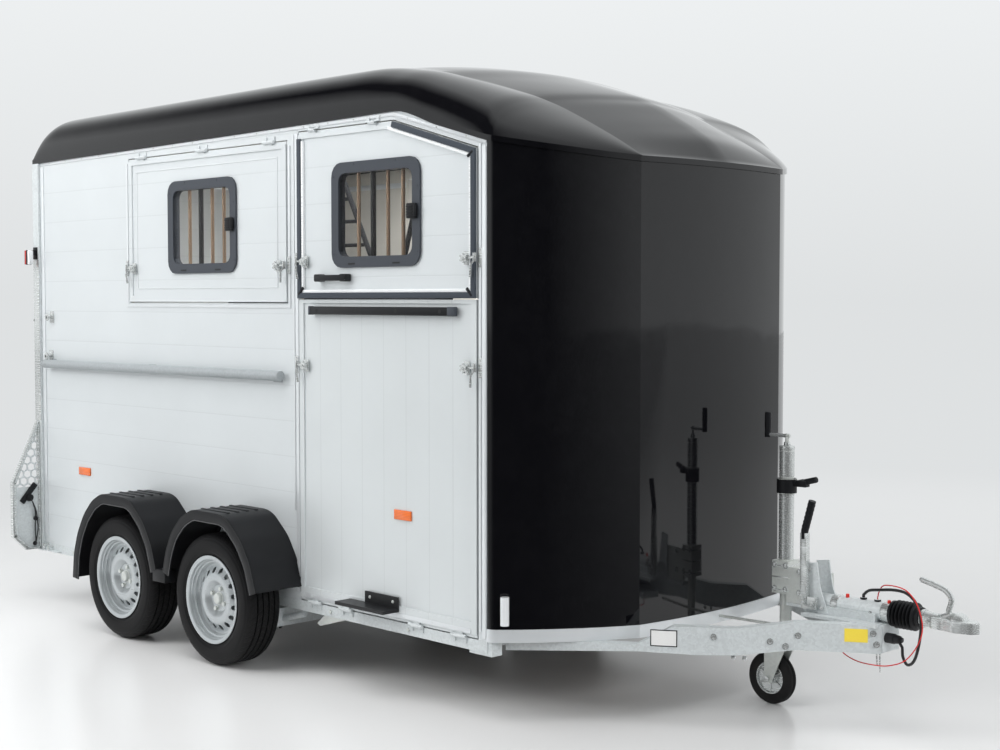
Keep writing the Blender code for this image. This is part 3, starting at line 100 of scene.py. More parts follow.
@dataclass
class Shader:
    """A material or node group under construction."""

    tree: bpy.types.NodeTree

    def give(self, socket: Socket, value: object) -> None:
        """Feeds a socket with a number, a colour or another socket."""
        if isinstance(value, bpy.types.NodeSocket):
            self.tree.links.new(value, socket)
        elif isinstance(value, tuple):
            socket.default_value = (*value, 1.0)
        else:
            socket.default_value = value

    def node(self, kind: str, **settings: object) -> bpy.types.Node:
        """Adds a node.

        Args:
            kind: the node's type without its ShaderNode prefix.
            settings: attributes of the node, or values of its sockets.

        Returns:
            The node.
        """
        made = self.tree.nodes.new(f"ShaderNode{kind}")
        for name, value in settings.items():
            if hasattr(made, name):
                setattr(made, name, value)
            else:
                self.give(made.inputs[name.replace("_", " ")], value)
        return made

    def shared(self, name: str) -> bpy.types.Node:
        """Adds a node of one of the shared groups."""
        return self.node("Group", node_tree=GROUPS[name])

    def math(self, operation: str, *values: object) -> Socket:
        """A Math node's result for numbers or sockets."""
        made = self.node("Math", operation=operation)
        for socket, value in zip(made.inputs, values):
            self.give(socket, value)
        return made.outputs[0]

    def plus(self, first: object, second: object) -> Socket:
        """A sum."""
        return self.math("ADD", first, second)

    def minus(self, first: object, second: object) -> Socket:
        """A difference."""
        return self.math("SUBTRACT", first, second)

    def times(self, first: object, second: object) -> Socket:
        """A product."""
        return self.math("MULTIPLY", first, second)

    def noise(self, place: Socket, scale: object, detail: float, roughness: float = 0.5) -> Socket:
        """A noise value."""
        made = self.node("TexNoise", Vector=place, Scale=scale, Detail=detail, Roughness=roughness)
        return made.outputs["Fac"]

    def mix(self, share: object, first: object, second: object) -> Socket:
        """A colour between two, by a number or socket."""
        made = self.node("Mix", data_type="RGBA")
        for index, value in ((0, share), (6, first), (7, second)):
            self.give(made.inputs[index], value)
        return made.outputs[2]

    def position(self) -> Socket:
        """Object coordinates."""
        return self.node("TexCoord").outputs["Object"]

    def part_of(self, vector: Socket, axis: str) -> Socket:
        """One part of a vector."""
        return self.node("SeparateXYZ", Vector=vector).outputs[axis]

    def ramp(self, value: Socket, low: float, high: float) -> Socket:
        """A value spread from low..high to 0..1, clamped."""
        return self.node("MapRange", Value=value, From_Min=low, From_Max=high).outputs["Result"]


def group(name: str, inputs: dict[str, float], outputs: Sequence[str]) -> tuple[Shader, dict[str, Socket]]:
    """A node group with float sockets.

    Args:
        name: the group's name.
        inputs: each input and its default.
        outputs: the outputs' names.

    Returns:
        The group's shader tool and its inner sockets by name.
    """
    tree = bpy.data.node_groups.new(name, "ShaderNodeTree")
    for label, value in inputs.items():
        socket = tree.interface.new_socket(name=label, in_out="INPUT", socket_type="NodeSocketFloat")
        socket.default_value = value
    for label in outputs:
        tree.interface.new_socket(name=label, in_out="OUTPUT", socket_type="NodeSocketFloat")
    entry, leave = (tree.nodes.new(f"NodeGroup{end}") for end in ("Input", "Output"))
    sockets = {label: entry.outputs[label] for label in inputs}
    return Shader(tree), sockets | {label: leave.inputs[label] for label in outputs}


def make_grain_group() -> bpy.types.NodeTree:
    """Fine moulded grain: a height and an even speckle."""
    tool, sockets = group("moulded grain", {"Scale": 400.0}, ("Height", "Speckle"))
    place = tool.position()
    fine = tool.noise(place, sockets["Scale"], 3.0)
    cells = tool.node("TexVoronoi", Vector=place, Scale=sockets["Scale"])
    tool.give(sockets["Height"], tool.plus(fine, tool.times(cells.outputs["Distance"], 0.5)))
    tool.give(sockets["Speckle"], fine)
    return tool.tree


def make_grime_group() -> bpy.types.NodeTree:
    """Road dust that gathers low down and in soft patches."""
    tool, sockets = group("road dust", {"Top": 0.9, "Amount": 0.2}, ("Mask",))
    place = tool.position()
    low = tool.minus(1.0, tool.math("DIVIDE", tool.part_of(place, "Z"), sockets["Top"]))
    low = tool.math("MAXIMUM", low, 0.0)
    soft = tool.ramp(tool.noise(place, 6.0, 6.0, 0.65), 0.35, 0.75)
    tool.give(sockets["Mask"], tool.times(tool.times(low, soft), sockets["Amount"]))
    return tool.tree


def make_brush_group() -> bpy.types.NodeTree:
    """Long drawing marks along X, as on extruded or rolled metal."""
    tool, sockets = group("drawn metal", {"Scale": 300.0}, ("Mark", "Cloud"))
    stretch = tool.node("Mapping", Vector=tool.position())
    stretch.inputs["Scale"].default_value = (0.02, 1.0, 1.0)
    tool.give(sockets["Mark"], tool.noise(stretch.outputs[0], sockets["Scale"], 2.0))
    tool.give(sockets["Cloud"], tool.noise(tool.position(), 3.0, 4.0))
    return tool.tree


GROUPS = {
    "grain": make_grain_group(),
    "dust": make_grime_group(),
    "brush": make_brush_group(),
}


@dataclass(frozen=True)
class Finish:
    """A Principled finish with its own pattern; subclasses give the pattern."""

    name: str
    colour: Colour
    roughness: float
    metallic: float = 0.0
    coat: float = 0.0
    dust: float = 0.0
    specular: float = 0.5

    def build(self) -> bpy.types.Material:
        """Makes the material."""
        made = bpy.data.materials.new(self.name)
        made.use_nodes = True
        tool = Shader(made.node_tree)
        shader = made.node_tree.nodes["Principled BSDF"]
        for socket, value in (
                ("Metallic", self.metallic), ("Coat Weight", self.coat), ("Coat Roughness", COAT_ROUGHNESS),
                ("Specular IOR Level", self.specular)):
            tool.give(shader.inputs[socket], value)
        colour, roughness = self.pattern(tool, shader)
        if self.dust > 0.0:
            dust = tool.shared("dust")
            tool.give(dust.inputs["Amount"], self.dust)
            colour = tool.mix(dust.outputs["Mask"], colour, DUST_COLOUR)
            roughness = tool.plus(roughness, tool.times(dust.outputs["Mask"], 0.5))
        tool.give(shader.inputs["Base Color"], colour)
        tool.give(shader.inputs["Roughness"], roughness)
        return made

    def bump(self, tool: Shader, shader: bpy.types.Node, height: Socket, distance: float, strength: float) -> None:
        """Adds a bump.

        Args:
            tool: the material's tool.
            shader: its Principled node.
            height: the height from 0 to 1.
            distance: the height's full size in metres.
            strength: how much of it shows.
        """
        bump = tool.node("Bump", Height=height, Distance=distance, Strength=strength)
        tool.give(shader.inputs["Normal"], bump.outputs["Normal"])

    def tone(self, factor: float, lift: float = 0.0) -> Colour:
        """The finish's colour made lighter or darker."""
        return tuple(min(1.0, c * factor + lift) for c in self.colour)

    def rough(self, tool: Shader, value: Socket, spread: float) -> Socket:
        """The roughness, spread by a value from 0 to 1 about the finish's own."""
        return tool.plus(tool.times(value, spread), self.roughness - spread / 2)

    def waves(self, tool: Shader, axis: str, rate: float) -> Socket:
        """Even waves along an axis."""
        return tool.math("SINE", tool.times(tool.part_of(tool.position(), axis), rate))

    def pattern(self, tool: Shader, shader: bpy.types.Node) -> tuple[object, object]:
        """The colour and roughness, as values or sockets."""
        grain = tool.shared("grain")
        self.bump(tool, shader, grain.outputs["Height"], 0.00008, 0.6)
        speckle = grain.outputs["Speckle"]
        return tool.mix(speckle, self.colour, self.tone(1.15, 0.004)), self.rough(tool, speckle, 0.12)


@dataclass(frozen=True)
class Plank(Finish):
    """Extruded planks with a fine joint between each two, lined inside."""

    pitch: float = 0.155
    base: float = 0.31
    lining: Colour = (0.66, 0.64, 0.59)
    lining_depth: float = 0.908
    along: str = "Z"

    def pattern(self, tool: Shader, shader: bpy.types.Node) -> tuple[object, object]:
        """Drawn marks, faint clouds and a groove at each joint; board on the inner faces."""
        brush = tool.shared("brush")
        mark = brush.outputs["Mark"]
        place = tool.position()
        level = tool.part_of(place, self.along)
        share = tool.math("FRACT", tool.math("DIVIDE", tool.minus(level, self.base), self.pitch))
        away = tool.math("ABSOLUTE", tool.minus(share, 0.5))
        groove = tool.ramp(away, 0.5 - 0.0034 / self.pitch, 0.5 - 0.0004 / self.pitch)
        self.bump(tool, shader, tool.minus(tool.times(mark, 0.03), groove), 0.0006, 0.4)
        colour = tool.mix(brush.outputs["Cloud"], self.tone(0.95), self.tone(1.04))
        colour = tool.mix(tool.times(groove, 0.15), colour, self.tone(0.45))
        inside, within = (
            tool.math("LESS_THAN", tool.math("ABSOLUTE", tool.part_of(place, axis)), limit)
            for axis, limit in (("Y", self.lining_depth), ("X", MIDDLE_X - 0.0155)))
        inside = tool.times(inside, within)
        tool.give(shader.inputs["Metallic"], tool.times(tool.minus(1.0, inside), self.metallic))
        return tool.mix(inside, colour, self.lining), self.rough(tool, mark, 0.1)


@dataclass(frozen=True)
class Drawn(Finish):
    """Satin extruded metal with drawing marks."""

    def pattern(self, tool: Shader, shader: bpy.types.Node) -> tuple[object, object]:
        """Drawn marks in the roughness and a little in the colour."""
        brush = tool.shared("brush")
        mark = brush.outputs["Mark"]
        self.bump(tool, shader, mark, 0.00004, 0.6)
        return tool.mix(brush.outputs["Cloud"], self.tone(0.94), self.tone(1.04)), self.rough(tool, mark, 0.14)


@dataclass(frozen=True)
class Gelcoat(Finish):
    """Polished gelcoat with the faint waviness of a hand-laid moulding."""

    def pattern(self, tool: Shader, shader: bpy.types.Node) -> tuple[object, object]:
        """Long soft waves, fine peel and a trace of dust."""
        place = tool.position()
        peel = tool.times(tool.noise(place, 220.0, 2.0), 0.02)
        self.bump(tool, shader, tool.plus(tool.noise(place, 5.0, 1.0), peel), 0.0011, 0.7)
        share = tool.ramp(tool.noise(place, 14.0, 6.0, 0.7), 0.45, 0.8)
        colour = tool.mix(tool.times(share, 0.25), self.colour, self.tone(1.6, 0.006))
        return colour, tool.plus(tool.times(share, 0.05), self.roughness)


@dataclass(frozen=True)
class Galvanised(Finish):
    """Hot-dip zinc with its crystal spangle and dull patches."""

    grains: float = 120.0
    contrast: float = 0.15
    sheen: float = 0.08

    def pattern(self, tool: Shader, shader: bpy.types.Node) -> tuple[object, object]:
        """Crystals of slightly different greys, and a run here and there."""
        place = tool.position()
        warp = tool.node("TexNoise", Vector=place, Scale=40.0, Detail=2.0)
        small = tool.node("VectorMath", operation="SCALE", Scale=0.012)
        shifted = tool.node("VectorMath", operation="ADD")
        for source, target in (
                (warp.outputs["Color"], small.inputs[0]), (place, shifted.inputs[0]),
                (small.outputs[0], shifted.inputs[1])):
            tool.give(target, source)
        spangle = tool.node("TexVoronoi", Vector=shifted.outputs[0], Scale=self.grains)
        shade = tool.part_of(spangle.outputs["Color"], "X")
        clouds = tool.noise(place, 9.0, 5.0)
        blend = tool.plus(tool.times(shade, 0.55), tool.times(clouds, 0.45))
        self.bump(tool, shader, clouds, 0.0004, 0.35)
        dull, bright = self.tone(1.0 - self.contrast), self.tone(1.0 + self.contrast * 0.6)
        return tool.mix(blend, dull, bright), self.rough(tool, shade, self.sheen)


@dataclass(frozen=True)
class TyreRubber(Finish):
    """Tyre rubber: sipes across the tread and rings on the walls, from the tyre's own map."""

    blocks: float = 62.0

    def pattern(self, tool: Shader, shader: bpy.types.Node) -> tuple[object, object]:
        """The map gives the place round the tyre and from its inner to its outer bead."""
        uv = tool.node("UVMap", uv_map="round").outputs["UV"]
        along, across = tool.part_of(uv, "X"), tool.part_of(uv, "Y")
        middle = tool.math("ABSOLUTE", tool.minus(across, 0.5))
        slant = tool.plus(tool.times(along, self.blocks), tool.times(middle, 9.0))
        tooth = tool.math("ABSOLUTE", tool.minus(tool.math("FRACT", slant), 0.5))
        tread = tool.minus(1.0, tool.ramp(middle, 0.195, 0.215))
        cut = tool.times(tool.ramp(tooth, 0.4, 0.45), tread)
        ring = tool.math("SINE", tool.times(across, 420.0))
        wall = tool.times(tool.times(ring, 0.14), tool.minus(1.0, tread))
        self.bump(tool, shader, tool.minus(wall, cut), 0.004, 0.8)
        colour = tool.mix(tool.noise(tool.position(), 25.0, 6.0), self.colour, self.tone(1.7))
        # The tread cuts are also darkened towards near-black in the colour: painted shade in the sipes.
        return tool.mix(tool.times(cut, 0.8), colour, (0.004, 0.004, 0.004)), self.roughness


@dataclass(frozen=True)
class Lens(Finish):
    """Ribbed lamp plastic."""

    pitch: float = 0.006

    def pattern(self, tool: Shader, shader: bpy.types.Node) -> tuple[object, object]:
        """Small prisms across the lens, their crests painted lighter and their hollows darker: painted light and shade
        on the relief.
        """
        rate = 2 * math.pi / self.pitch
        height = tool.times(self.waves(tool, "Z", rate), self.waves(tool, "Y", rate))
        self.bump(tool, shader, height, 0.0006, 0.7)
        # Colour follows the prisms' height: painted highlight on the crests, painted shade in the hollows.
        return tool.mix(tool.ramp(height, -1.0, 1.0), self.tone(0.7), self.tone(1.2)), self.roughness


@dataclass(frozen=True)
class Pane(Finish):
    """Tinted clear sheet with faint smears."""

    def pattern(self, tool: Shader, shader: bpy.types.Node) -> tuple[object, object]:
        """Smears in the roughness; the tint is on the shader."""
        tool.give(shader.inputs["Transmission Weight"], 1.0)
        tool.give(shader.inputs["IOR"], PANE_IOR)
        smear = tool.ramp(tool.noise(tool.position(), 8.0, 5.0), 0.5, 0.9)
        return self.colour, tool.times(smear, 0.08)


@dataclass(frozen=True)
class Board(Finish):
    """Phenolic board with its pressed wire mesh."""

    def pattern(self, tool: Shader, shader: bpy.types.Node) -> tuple[object, object]:
        """Two crossed fine waves and brown clouds."""
        height = tool.times(self.waves(tool, "X", MESH_RATE), self.waves(tool, "Y", MESH_RATE))
        self.bump(tool, shader, height, 0.0003, 0.7)
        clouds = tool.noise(tool.position(), 7.0, 6.0)
        return tool.mix(clouds, self.tone(0.7), self.tone(1.25)), self.roughness


FINISHES = {
    "plank_aluminium": Plank("planks", (0.7, 0.735, 0.75), 0.38, 0.3, dust=0.03),
    "plank_upright": Plank("upright planks", (0.69, 0.725, 0.735), 0.38, 0.3, dust=0.02, pitch=0.1375,
                           base=2.25 - MIDDLE_X, along="X"),
    "edge_aluminium": Drawn("edge profile", (0.78, 0.81, 0.83), 0.32, 0.4, dust=0.03),
    "black_gelcoat": Gelcoat("black gelcoat", (0.0035, 0.0035, 0.0045), 0.035),
    "black_plastic": Finish("black plastic", (0.008, 0.0085, 0.01), 0.4, dust=0.02, specular=0.35),
    "guard_black": Finish("moulded black", (0.007, 0.0075, 0.009), 0.44, dust=0.02, specular=0.26),
    # Lighter and glossier than the guard's black, for the strip along each mudguard lip: a painted highlight.
    "lip_highlight_black": Finish("polished black edge", (0.03, 0.031, 0.034), 0.22, coat=0.4),
    "slate_frame": Finish("slate plastic", (0.044, 0.05, 0.061), 0.4, specular=0.4),
    "slate_seal": Finish("slate seal", (0.046, 0.055, 0.068), 0.55, specular=0.35),
    "galvanised": Galvanised("galvanised steel", (0.66, 0.7, 0.71), 0.42, 0.22, dust=0.02),
    "dull_zinc": Galvanised("dull galvanised tube", (0.4, 0.43, 0.445), 0.46, 0.25, dust=0.02),
    "zinc_plate": Galvanised("zinc plated steel", (0.66, 0.685, 0.66), 0.34, 0.4, grains=90.0, contrast=0.08,
                             sheen=0.03),
    "wheel_silver": Drawn("silver lacquer", (0.5, 0.535, 0.55), 0.3, 0.55, coat=0.5, dust=0.03),
    "tyre_rubber": TyreRubber("tyre rubber", (0.0045, 0.0045, 0.005), 0.56, dust=0.008, specular=0.22),
    "tyre_plain": Finish("solid tyre", (0.006, 0.006, 0.0065), 0.6, dust=0.04, specular=0.25),
    "deck_brown": Board("deck board", (0.15, 0.1, 0.07), 0.62),
    "bar_bronze": Drawn("bar lacquer", (0.3, 0.2, 0.13), 0.38, 0.15),
    "pane": Pane("pane", (0.97, 0.97, 0.96), 0.01),
    "lamp_red": Lens("red lens", (0.42, 0.012, 0.01), 0.12, coat=0.8),
    "lamp_clear": Lens("clear lens", (0.8, 0.82, 0.84), 0.1, coat=0.8),
    "reflector_orange": Lens("orange lens", (0.86, 0.16, 0.01), 0.14, coat=0.8),
    "cable_black": Finish("cable sheath", (0.012, 0.012, 0.013), 0.42),
    "cable_red": Finish("red sheath", (0.55, 0.02, 0.02), 0.38),
    "frame_white": Drawn("white frame", (0.86, 0.88, 0.89), 0.28, 0.1),
    "bright_zinc": Drawn("bright zinc", (0.7, 0.725, 0.72), 0.26, 0.72),
    "bar_black": Finish("black end cap", (0.006, 0.006, 0.007), 0.42),
    "cap_red": Finish("red cap", (0.62, 0.03, 0.02), 0.35),
    "label_pale": Finish("blank plate", (0.7, 0.7, 0.69), 0.35),
    "label_yellow": Finish("blank yellow plate", (0.8, 0.62, 0.06), 0.4),
    "mat_grey": Board("stall mat", (0.06, 0.062, 0.066), 0.7),
    "pad_black": Finish("padded cover", (0.014, 0.014, 0.016), 0.5, dust=0.03, specular=0.3),
}
MATERIALS = {name: finish.build() for name, finish in FINISHES.items()}


# Mesh tools


def settle(
        name: str, shape: Shape, finish: str, body: str = "trailer", smooth: float = 35.0) -> bpy.types.Object:
    """Makes a bmesh a dressed piece that rides on a body.

    Args:
        name: the piece's name.
        shape: its bmesh, in the row frame; it is freed.
        finish: the name of its finish.
        body: the body that it moves with.
        smooth: the angle in degrees above which edges stay sharp.

    Returns:
        The piece.
    """
    bmesh.ops.remove_doubles(shape, verts=shape.verts, dist=0.00002)
    bmesh.ops.recalc_face_normals(shape, faces=shape.faces)
    mesh = bake(name, shape)
    mesh.shade_smooth()
    mesh.set_sharp_from_angle(angle=math.radians(smooth))
    return dress(bpy.data.objects.new(name, mesh), finish, body)


def bake(name: str, shape: Shape) -> bpy.types.Mesh:
    """Turns a bmesh into a mesh and frees it."""
    mesh = bpy.data.meshes.new(name)
    shape.to_mesh(mesh)
    shape.free()
    return mesh


def link(piece: bpy.types.Object) -> bpy.types.Object:
    """Puts an object into the scene."""
    bpy.context.scene.collection.objects.link(piece)
    return piece


def dress(piece: bpy.types.Object, finish: str, body: str = "trailer") -> bpy.types.Object:
    """Links a new piece, gives it its finish and lets it ride on its body."""
    link(piece)
    piece.data.materials.append(MATERIALS[finish])
    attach(piece, body)
    return piece


def ease(
        shape: Shape, edges: Sequence[bmesh.types.BMEdge], offset: float, segments: int = 2,
        profile: float = 0.5) -> None:
    """Rounds edges; nothing happens for an offset of zero."""
    if offset > 0.0:
        bmesh.ops.bevel(
            shape, geom=list(edges), offset=offset, offset_type="OFFSET", segments=segments, profile=profile,
            affect="EDGES", material=-1)


def grow(shape: Shape, faces: Sequence[bmesh.types.BMFace], depth: Vector) -> list[bmesh.types.BMFace]:
    """Thickens faces by an offset and gives the new faces."""
    grown = bmesh.ops.extrude_face_region(shape, geom=faces, use_keep_orig=True)["geom"]
    bmesh.ops.translate(shape, vec=depth, verts=[v for v in grown if isinstance(v, bmesh.types.BMVert)])
    return [f for f in grown if isinstance(f, bmesh.types.BMFace)]


def rims_of(faces: Sequence[bmesh.types.BMFace]) -> list[bmesh.types.BMEdge]:
    """The edges that only one of the faces has."""
    return [e for e in {e for f in faces for e in f.edges} if len([f for f in e.link_faces if f in faces]) == 1]


def merge(shape: Shape, extra: Shape, matrix: Matrix | None = None) -> None:
    """Adds a second bmesh to the first, moved by a matrix, and frees it."""
    if matrix is not None:
        bmesh.ops.transform(extra, matrix=matrix, verts=extra.verts)
    mesh = bake("merged", extra)
    shape.from_mesh(mesh)
    bpy.data.meshes.remove(mesh)


def add_block(shape: Shape, low: Vector, high: Vector, bevel: float = 0.0, segments: int = 2) -> None:
    """Adds a box between two corners, its edges rounded."""
    made = bmesh.ops.create_cube(shape, size=1.0)["verts"]
    bmesh.ops.scale(shape, vec=Vector([abs(h - l) for l, h in zip(low, high)]), verts=made)
    bmesh.ops.translate(shape, vec=(low + high) / 2, verts=made)
    ease(shape, {edge for vert in made for edge in vert.link_edges}, bevel, segments)


def add_rod(
        shape: Shape, start: Vector, end: Vector, radius: float, sides: int = 24, end_radius: float | None = None,
        bevel: float = 0.0) -> None:
    """Adds a round bar or cone between two points, its rims rounded."""
    along = end - start
    place = Matrix.Translation((start + end) / 2) @ along.to_track_quat("Z", "Y").to_matrix().to_4x4()
    made = bmesh.ops.create_cone(
        shape, cap_ends=True, segments=sides, radius1=radius,
        radius2=radius if end_radius is None else end_radius, depth=along.length, matrix=place)["verts"]
    caps = {face for vert in made for face in vert.link_faces if len(face.verts) == sides}
    ease(shape, {edge for face in caps for edge in face.edges}, bevel)


def add_bolt(shape: Shape, spot: Vector, out: Vector, washer: tuple[float, float, float], head: Spot) -> None:
    """Adds a hexagon bolt on its washer.

    Args:
        shape: the bmesh.
        spot: the foot of the bolt.
        out: the way it stands out, one metre long.
        washer: its height and its radius at foot and top.
        head: the head's height and radius.
    """
    add_rod(shape, spot, spot + out * washer[0], washer[1], 20, washer[2])
    add_rod(shape, spot, spot + out * head[0], head[1], 6, bevel=0.001)


def rod_piece(
        name: str, finish: str, rods: Sequence[tuple], body: str = "trailer", smooth: float = 32.0) -> bpy.types.Object:
    """A piece made of rods, each given as add_rod takes it."""
    shape = bmesh.new()
    for rod in rods:
        add_rod(shape, *rod)
    return settle(name, shape, finish, body, smooth)


def add_frame(shape: Shape, outline: Sequence[Vector], width: float, depth: Vector, bevel: float = 0.0) -> None:
    """Adds a flat frame that follows a closed outline.

    Args:
        shape: the bmesh.
        outline: the outer corners in order.
        width: how far the frame reaches inwards.
        depth: the way from the frame's back to its front.
        bevel: the rounding of its outer rim.
    """
    face = shape.faces.new([shape.verts.new(point) for point in outline])
    ring = bmesh.ops.inset_region(
        shape, faces=[face], thickness=width, use_even_offset=True, use_boundary=True)["faces"]
    bmesh.ops.delete(shape, geom=[face], context="FACES_ONLY")
    ease(shape, rims_of(grow(shape, ring, depth)), bevel)


def add_spun(
        shape: Shape, profile: Sequence[Spot], centre: Vector, axis: Axis, steps: int = 64,
        closed: bool = True) -> None:
    """Adds a turned solid.

    Args:
        shape: the bmesh.
        profile: pairs of radius and place along the axis.
        centre: the profile's zero, in the row frame.
        axis: the axis that it turns about.
        steps: how many steps a full turn has.
        closed: whether the profile's last point joins its first.
    """
    out, along = axis.value
    verts = [shape.verts.new(centre + out * radius + along * place) for radius, place in profile]
    pairs = list(zip(verts, verts[1:])) + ([(verts[-1], verts[0])] if closed else [])
    edges = [shape.edges.new(pair) for pair in pairs]
    bmesh.ops.spin(
        shape, geom=verts + edges, cent=centre, axis=along, angle=2 * math.pi, steps=steps, use_merge=True)


def turned(axis: str, index: float, count: int, arm: Vector) -> Vector:
    """An arm turned by some of a full turn's equal steps."""
    return Matrix.Rotation(2 * math.pi * index / count, 4, axis) @ arm


def smooth_route(points: Sequence[Point], steps: int = 4) -> list[Vector]:
    """Points along a smooth curve through the given ones, straight at both ends."""
    spots = [at(*p) for p in points[1:-1]]
    ends = [spots[0] * 2 - spots[1]] + spots + [spots[-1] * 2 - spots[-2]]
    route = []
    for a, b, c, d in zip(ends, ends[1:], ends[2:], ends[3:]):
        for step in range(steps):
            t = step / steps
            route.append(
                b + (c - a) * t / 2 + (a * 2 - b * 5 + c * 4 - d) * t * t / 2
                + (b * 3 - a - c * 3 + d) * t ** 3 / 2)
    return [at(*points[0])] + route + [spots[-1], at(*points[-1])]


def cable(name: str, route: Sequence[Vector], radius: float, finish: str) -> bpy.types.Object:
    """A round cable along a route, as a curve piece."""
    curve = bpy.data.curves.new(name, "CURVE")
    curve.dimensions = "3D"
    curve.bevel_depth = radius
    curve.bevel_resolution = 4
    curve.use_fill_caps = True
    spline = curve.splines.new("POLY")
    spline.points.add(len(route) - 1)
    for point, place in zip(spline.points, route):
        point.co = (*place, 1.0)
    spline.use_smooth = True
    return dress(bpy.data.objects.new(name, curve), finish)


# The trailer's sub-assemblies


@dataclass
class Studio:
    """The camera at the photograph's angle, the pale floor, the backdrop and soft lamps."""

    eye: Point = (7.58, -4.98, 1.618)
    yaw: float = 45.34
    pitch: float = 2.85
    lens: float = 55.606
    floor_shade: float = 0.74
    backdrop: float = 0.76
    ambient: float = 0.45
    tint: Colour = (0.965, 0.99, 1.0)

    def build_camera(self) -> None:
        """Places the camera."""
        data = bpy.data.cameras.new("camera")
        data.lens = self.lens
        data.sensor_width = 36.0
        data.clip_end = 200.0
        camera = link(bpy.data.objects.new("camera", data))
        camera.location = at(*self.eye)
        camera.rotation_euler = (math.radians(90.0 - self.pitch), 0.0, math.radians(self.yaw))
        bpy.context.scene.camera = camera

    def toward_eye(self, tool: Shader, x: Socket, y: Socket) -> Socket:
        """How far a place lies towards the camera's side."""
        return tool.minus(tool.times(x, 0.62), tool.times(y, 0.78))

    def build_world(self) -> None:
        """A white surround for the camera and for reflections, softer as a light."""
        world = bpy.data.worlds.new("studio")
        bpy.context.scene.world = world
        world.use_nodes = True
        tool = Shader(world.node_tree)
        back = world.node_tree.nodes["Background"]
        path = tool.node("LightPath").outputs
        seen = tool.math("MAXIMUM", path["Is Camera Ray"], path["Is Transmission Ray"])
        way = tool.node("TexCoord").outputs["Generated"]
        x, y, z = (tool.part_of(way, axis) for axis in "XYZ")
        behind_eye = tool.ramp(self.toward_eye(tool, x, y), 0.6, 0.93)
        ceiling = tool.times(tool.ramp(z, 0.3, 0.55), tool.ramp(y, 0.25, -0.25))
        dark = tool.math("MAXIMUM", behind_eye, ceiling)
        mirrored = tool.minus(0.88, tool.times(dark, 0.865))
        light = tool.plus(tool.times(path["Is Glossy Ray"], tool.minus(mirrored, self.ambient)), self.ambient)
        shown = tool.plus(tool.times(tool.ramp(z, 0.0, 0.2), 0.13), self.backdrop)
        tool.give(back.inputs["Strength"], tool.plus(tool.times(seen, tool.minus(shown, light)), light))
        tool.give(back.inputs["Color"], self.tint)

    def floor_material(self) -> bpy.types.Material:
        """The floor's finish: a soft sheen near the trailer that turns into the backdrop's white; in reflections its
        part on the camera's side is painted near-black, a painted dark reflection.
        """
        made = bpy.data.materials.new("studio floor")
        made.use_nodes = True
        tool = Shader(made.node_tree)
        shader = made.node_tree.nodes["Principled BSDF"]
        tool.give(shader.inputs["Roughness"], 0.22)
        tool.give(shader.inputs["Specular IOR Level"], 0.35)
        place = tool.position()
        shade = tool.plus(tool.times(tool.noise(place, 2.0, 3.0), 0.02), self.floor_shade - 0.01)
        path = tool.node("LightPath").outputs
        toward = self.toward_eye(tool, tool.part_of(place, "X"), tool.part_of(place, "Y"))
        # Painted dark reflection: seen by glossy rays, the floor on the camera's side takes a near-black colour.
        painted_dark_reflection = tool.times(tool.ramp(toward, 1.5, 2.6), path["Is Glossy Ray"])
        colour = tool.node("CombineColor", Red=shade, Green=shade, Blue=shade)
        tool.give(shader.inputs["Base Color"], tool.mix(painted_dark_reflection, colour.outputs[0], (0.012, 0.012, 0.012)))
        far = tool.node("VectorMath", operation="LENGTH", Vector=place)
        share = tool.times(tool.ramp(far.outputs["Value"], 3.2, 9.0), path["Is Camera Ray"])
        glow = tool.node("Emission", Strength=self.backdrop, Color=self.tint)
        blend = tool.node("MixShader")
        for socket, source in zip(blend.inputs, (share, shader.outputs[0], glow.outputs[0])):
            tool.give(socket, source)
        tool.give(made.node_tree.nodes["Material Output"].inputs["Surface"], blend.outputs[0])
        return made

    def build_floor(self) -> None:
        """A wide pale floor that runs out into the backdrop."""
        shape = bmesh.new()
        bmesh.ops.create_grid(shape, x_segments=1, y_segments=1, size=60.0)
        bmesh.ops.translate(shape, vec=(0.0, 0.0, -0.0005), verts=shape.verts)
        floor = link(bpy.data.objects.new("studio_floor", bake("studio_floor", shape)))
        floor.data.materials.append(self.floor_material())

    def build_lamps(self) -> None:
        """A wide lamp overhead, softer ones round about and a small one under the roof."""
        lamps = (
            ("top_lamp", (-0.6, -2.2, 6.2), (-0.4, -0.6, 1.8), 5.0, 240.0),
            ("front_lamp", (9.0, -1.4, 4.2), (2.6, 0.0, 0.6), 4.0, 340.0),
            ("side_lamp", (-3.2, -6.0, 4.6), (-1.7, -0.9, 2.1), 3.2, 255.0),
            ("far_lamp", (-1.0, 8.0, 5.0), (0.0, 0.9, 1.3), 5.0, 190.0),
            ("inner_lamp", (-0.6, 0.1, 2.4), (-0.6, 0.0, 0.0), 1.3, 46.0),
        )
        for name, place, target, size, power in lamps:
            data = bpy.data.lights.new(name, "AREA")
            data.shape = "SQUARE"
            data.size = size
            data.energy = power
            lamp = link(bpy.data.objects.new(name, data))
            lamp.location = place
            lamp.rotation_euler = (Vector(target) - Vector(place)).to_track_quat("-Z", "Y").to_euler()
            lamp.visible_glossy = False
            lamp.visible_transmission = name != "inner_lamp"

    def build(self) -> None:
        """Makes the whole studio."""
        self.build_camera()
        self.build_world()
        self.build_floor()
        self.build_lamps()
        bpy.context.scene.view_settings.view_transform = "Standard"


